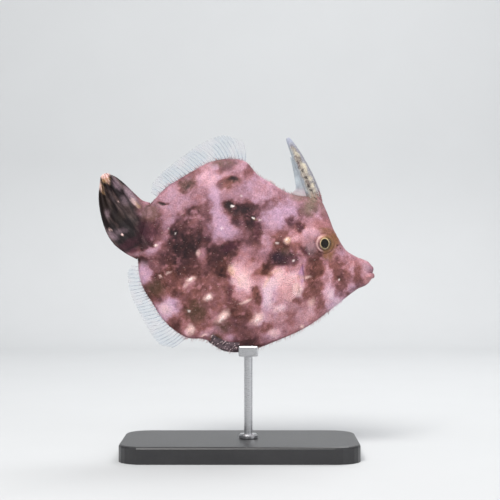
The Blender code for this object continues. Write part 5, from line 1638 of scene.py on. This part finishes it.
def board_material():
    """Satin black board with a faint grain and slightly paler clouds."""
    made, tree, shader, place = new_material("satin_board", 0.35)
    grain = noise(tree, place, 0.6, 5.0)
    tone = between_colours(tree, noise(tree, place, 9.0, 6.0), *BOARD_COLOURS)
    colour = shaded(tree, tone, grain, 0.75, 1.25)
    tree.links.new(colour, shader.inputs["Base Color"])
    tree.links.new(ranged(tree, grain, 0.26, 0.46), shader.inputs["Roughness"])
    bumped(tree, shader, grain, 0.02, 0.5)
    return made


def steel_material():
    """Brushed steel, its fine lines running round the rod."""
    made, tree, shader, place = new_material("brushed_steel", 0.28, metallic=1.0)
    stretch = add_node(tree, "ShaderNodeMapping", {"Vector": place, "Scale": (1.0, 1.0, 14.0)}).outputs[0]
    lines = noise(tree, stretch, 2.0, 6.0)
    tree.links.new(between_colours(tree, lines, *STEEL_COLOURS), shader.inputs["Base Color"])
    tree.links.new(ranged(tree, lines, 0.2, 0.38), shader.inputs["Roughness"])
    bumped(tree, shader, lines, 0.01, 0.4)
    return made


def finish_stand():
    """Materials for the stand's own solids, which stay in view."""
    board = board_material()
    steel = steel_material()
    for node, finish in (("stand_base", board), ("stand_rod", steel), ("stand_saddle", steel)):
        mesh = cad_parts[node].data
        mesh.materials.clear()
        mesh.materials.append(finish)


def make_stage():
    """A pale floor that curves up into a backdrop."""
    bend_y = WALL_Y - WALL_BEND
    profile = [(STAGE_FRONT, 0.0), (bend_y, 0.0)]
    for i in range(1, BEND_STEPS + 1):
        turn = i / BEND_STEPS * math.pi / 2
        profile.append((bend_y + WALL_BEND * math.sin(turn), WALL_BEND - WALL_BEND * math.cos(turn)))
    profile.append((WALL_Y, WALL_TOP))
    points = [(x, y, z) for y, z in profile for x in (-STAGE_REACH, STAGE_REACH)]
    faces = [(2 * i, 2 * i + 1, 2 * i + 3, 2 * i + 2) for i in range(len(profile) - 1)]
    made, tree, shader, place = new_material("pale_paper", 0.85, specular=0.2)
    paper = add_node(tree, "ShaderNodeRGB").outputs[0]
    paper.default_value = PAPER
    colour = shaded(tree, paper, noise(tree, place, 60.0, 2.0), 0.98, 1.02)
    tree.links.new(colour, shader.inputs["Base Color"])
    add_mesh("backdrop", points, faces, made)


def aim(obj, target):
    obj.rotation_mode = "QUATERNION"
    obj.rotation_quaternion = (Vector(target) - obj.location).to_track_quat("-Z", "Y")


def make_light(name, place, size, power, colour, target, spread):
    data = bpy.data.lights.new(name, "AREA")
    data.size = size
    data.energy = power
    data.color = colour
    data.spread = math.radians(spread)
    light = bpy.data.objects.new(name, data)
    light.location = place
    aim(light, target)
    bpy.context.scene.collection.objects.link(light)


def make_lights():
    for setting in LIGHTS:
        make_light(*setting)
    world = bpy.data.worlds.new("soft_world")
    world.use_nodes = True
    world.node_tree.nodes["Background"].inputs["Color"].default_value = SKY
    world.node_tree.nodes["Background"].inputs["Strength"].default_value = SKY_STRENGTH
    bpy.context.scene.world = world
    bpy.context.scene.view_settings.view_transform = "Standard"


def make_camera():
    data = bpy.data.cameras.new("camera")
    data.sensor_width = SENSOR
    data.lens = SENSOR * CAMERA_DISTANCE / FRAME_SPAN
    data.clip_start = 0.01
    camera = bpy.data.objects.new("camera", data)
    camera.location = (FRAME_CENTRE[0] * MM, -CAMERA_DISTANCE * MM, FRAME_CENTRE[1] * MM)
    aim(camera, (FRAME_CENTRE[0] * MM, 0.0, FRAME_CENTRE[1] * MM))
    bpy.context.scene.collection.objects.link(camera)
    bpy.context.scene.camera = camera


def main():
    make_camera()
    make_stage()
    make_lights()
    skin, coat, bone, dark, iris = (tinted_material(*setting) for setting in LIVING_FINISHES)
    clear, clear_ray, web = (clear_material(*setting) for setting in CLEAR_FINISHES)
    surface = make_skin(skin)
    make_coat(coat, surface)
    make_edge_bristles(coat)
    make_tail_velvet(coat)
    make_cirri(coat)
    cornea = cornea_material()
    make_eye("eye_left", 1, iris, cornea)
    make_eye("eye_right", -1, iris, cornea)
    make_fins(clear, clear_ray, dark)
    make_spine(bone)
    make_barbs(bone)
    make_web(web)
    make_rudiment(bone)
    make_thorns(bone)
    finish_stand()


main()
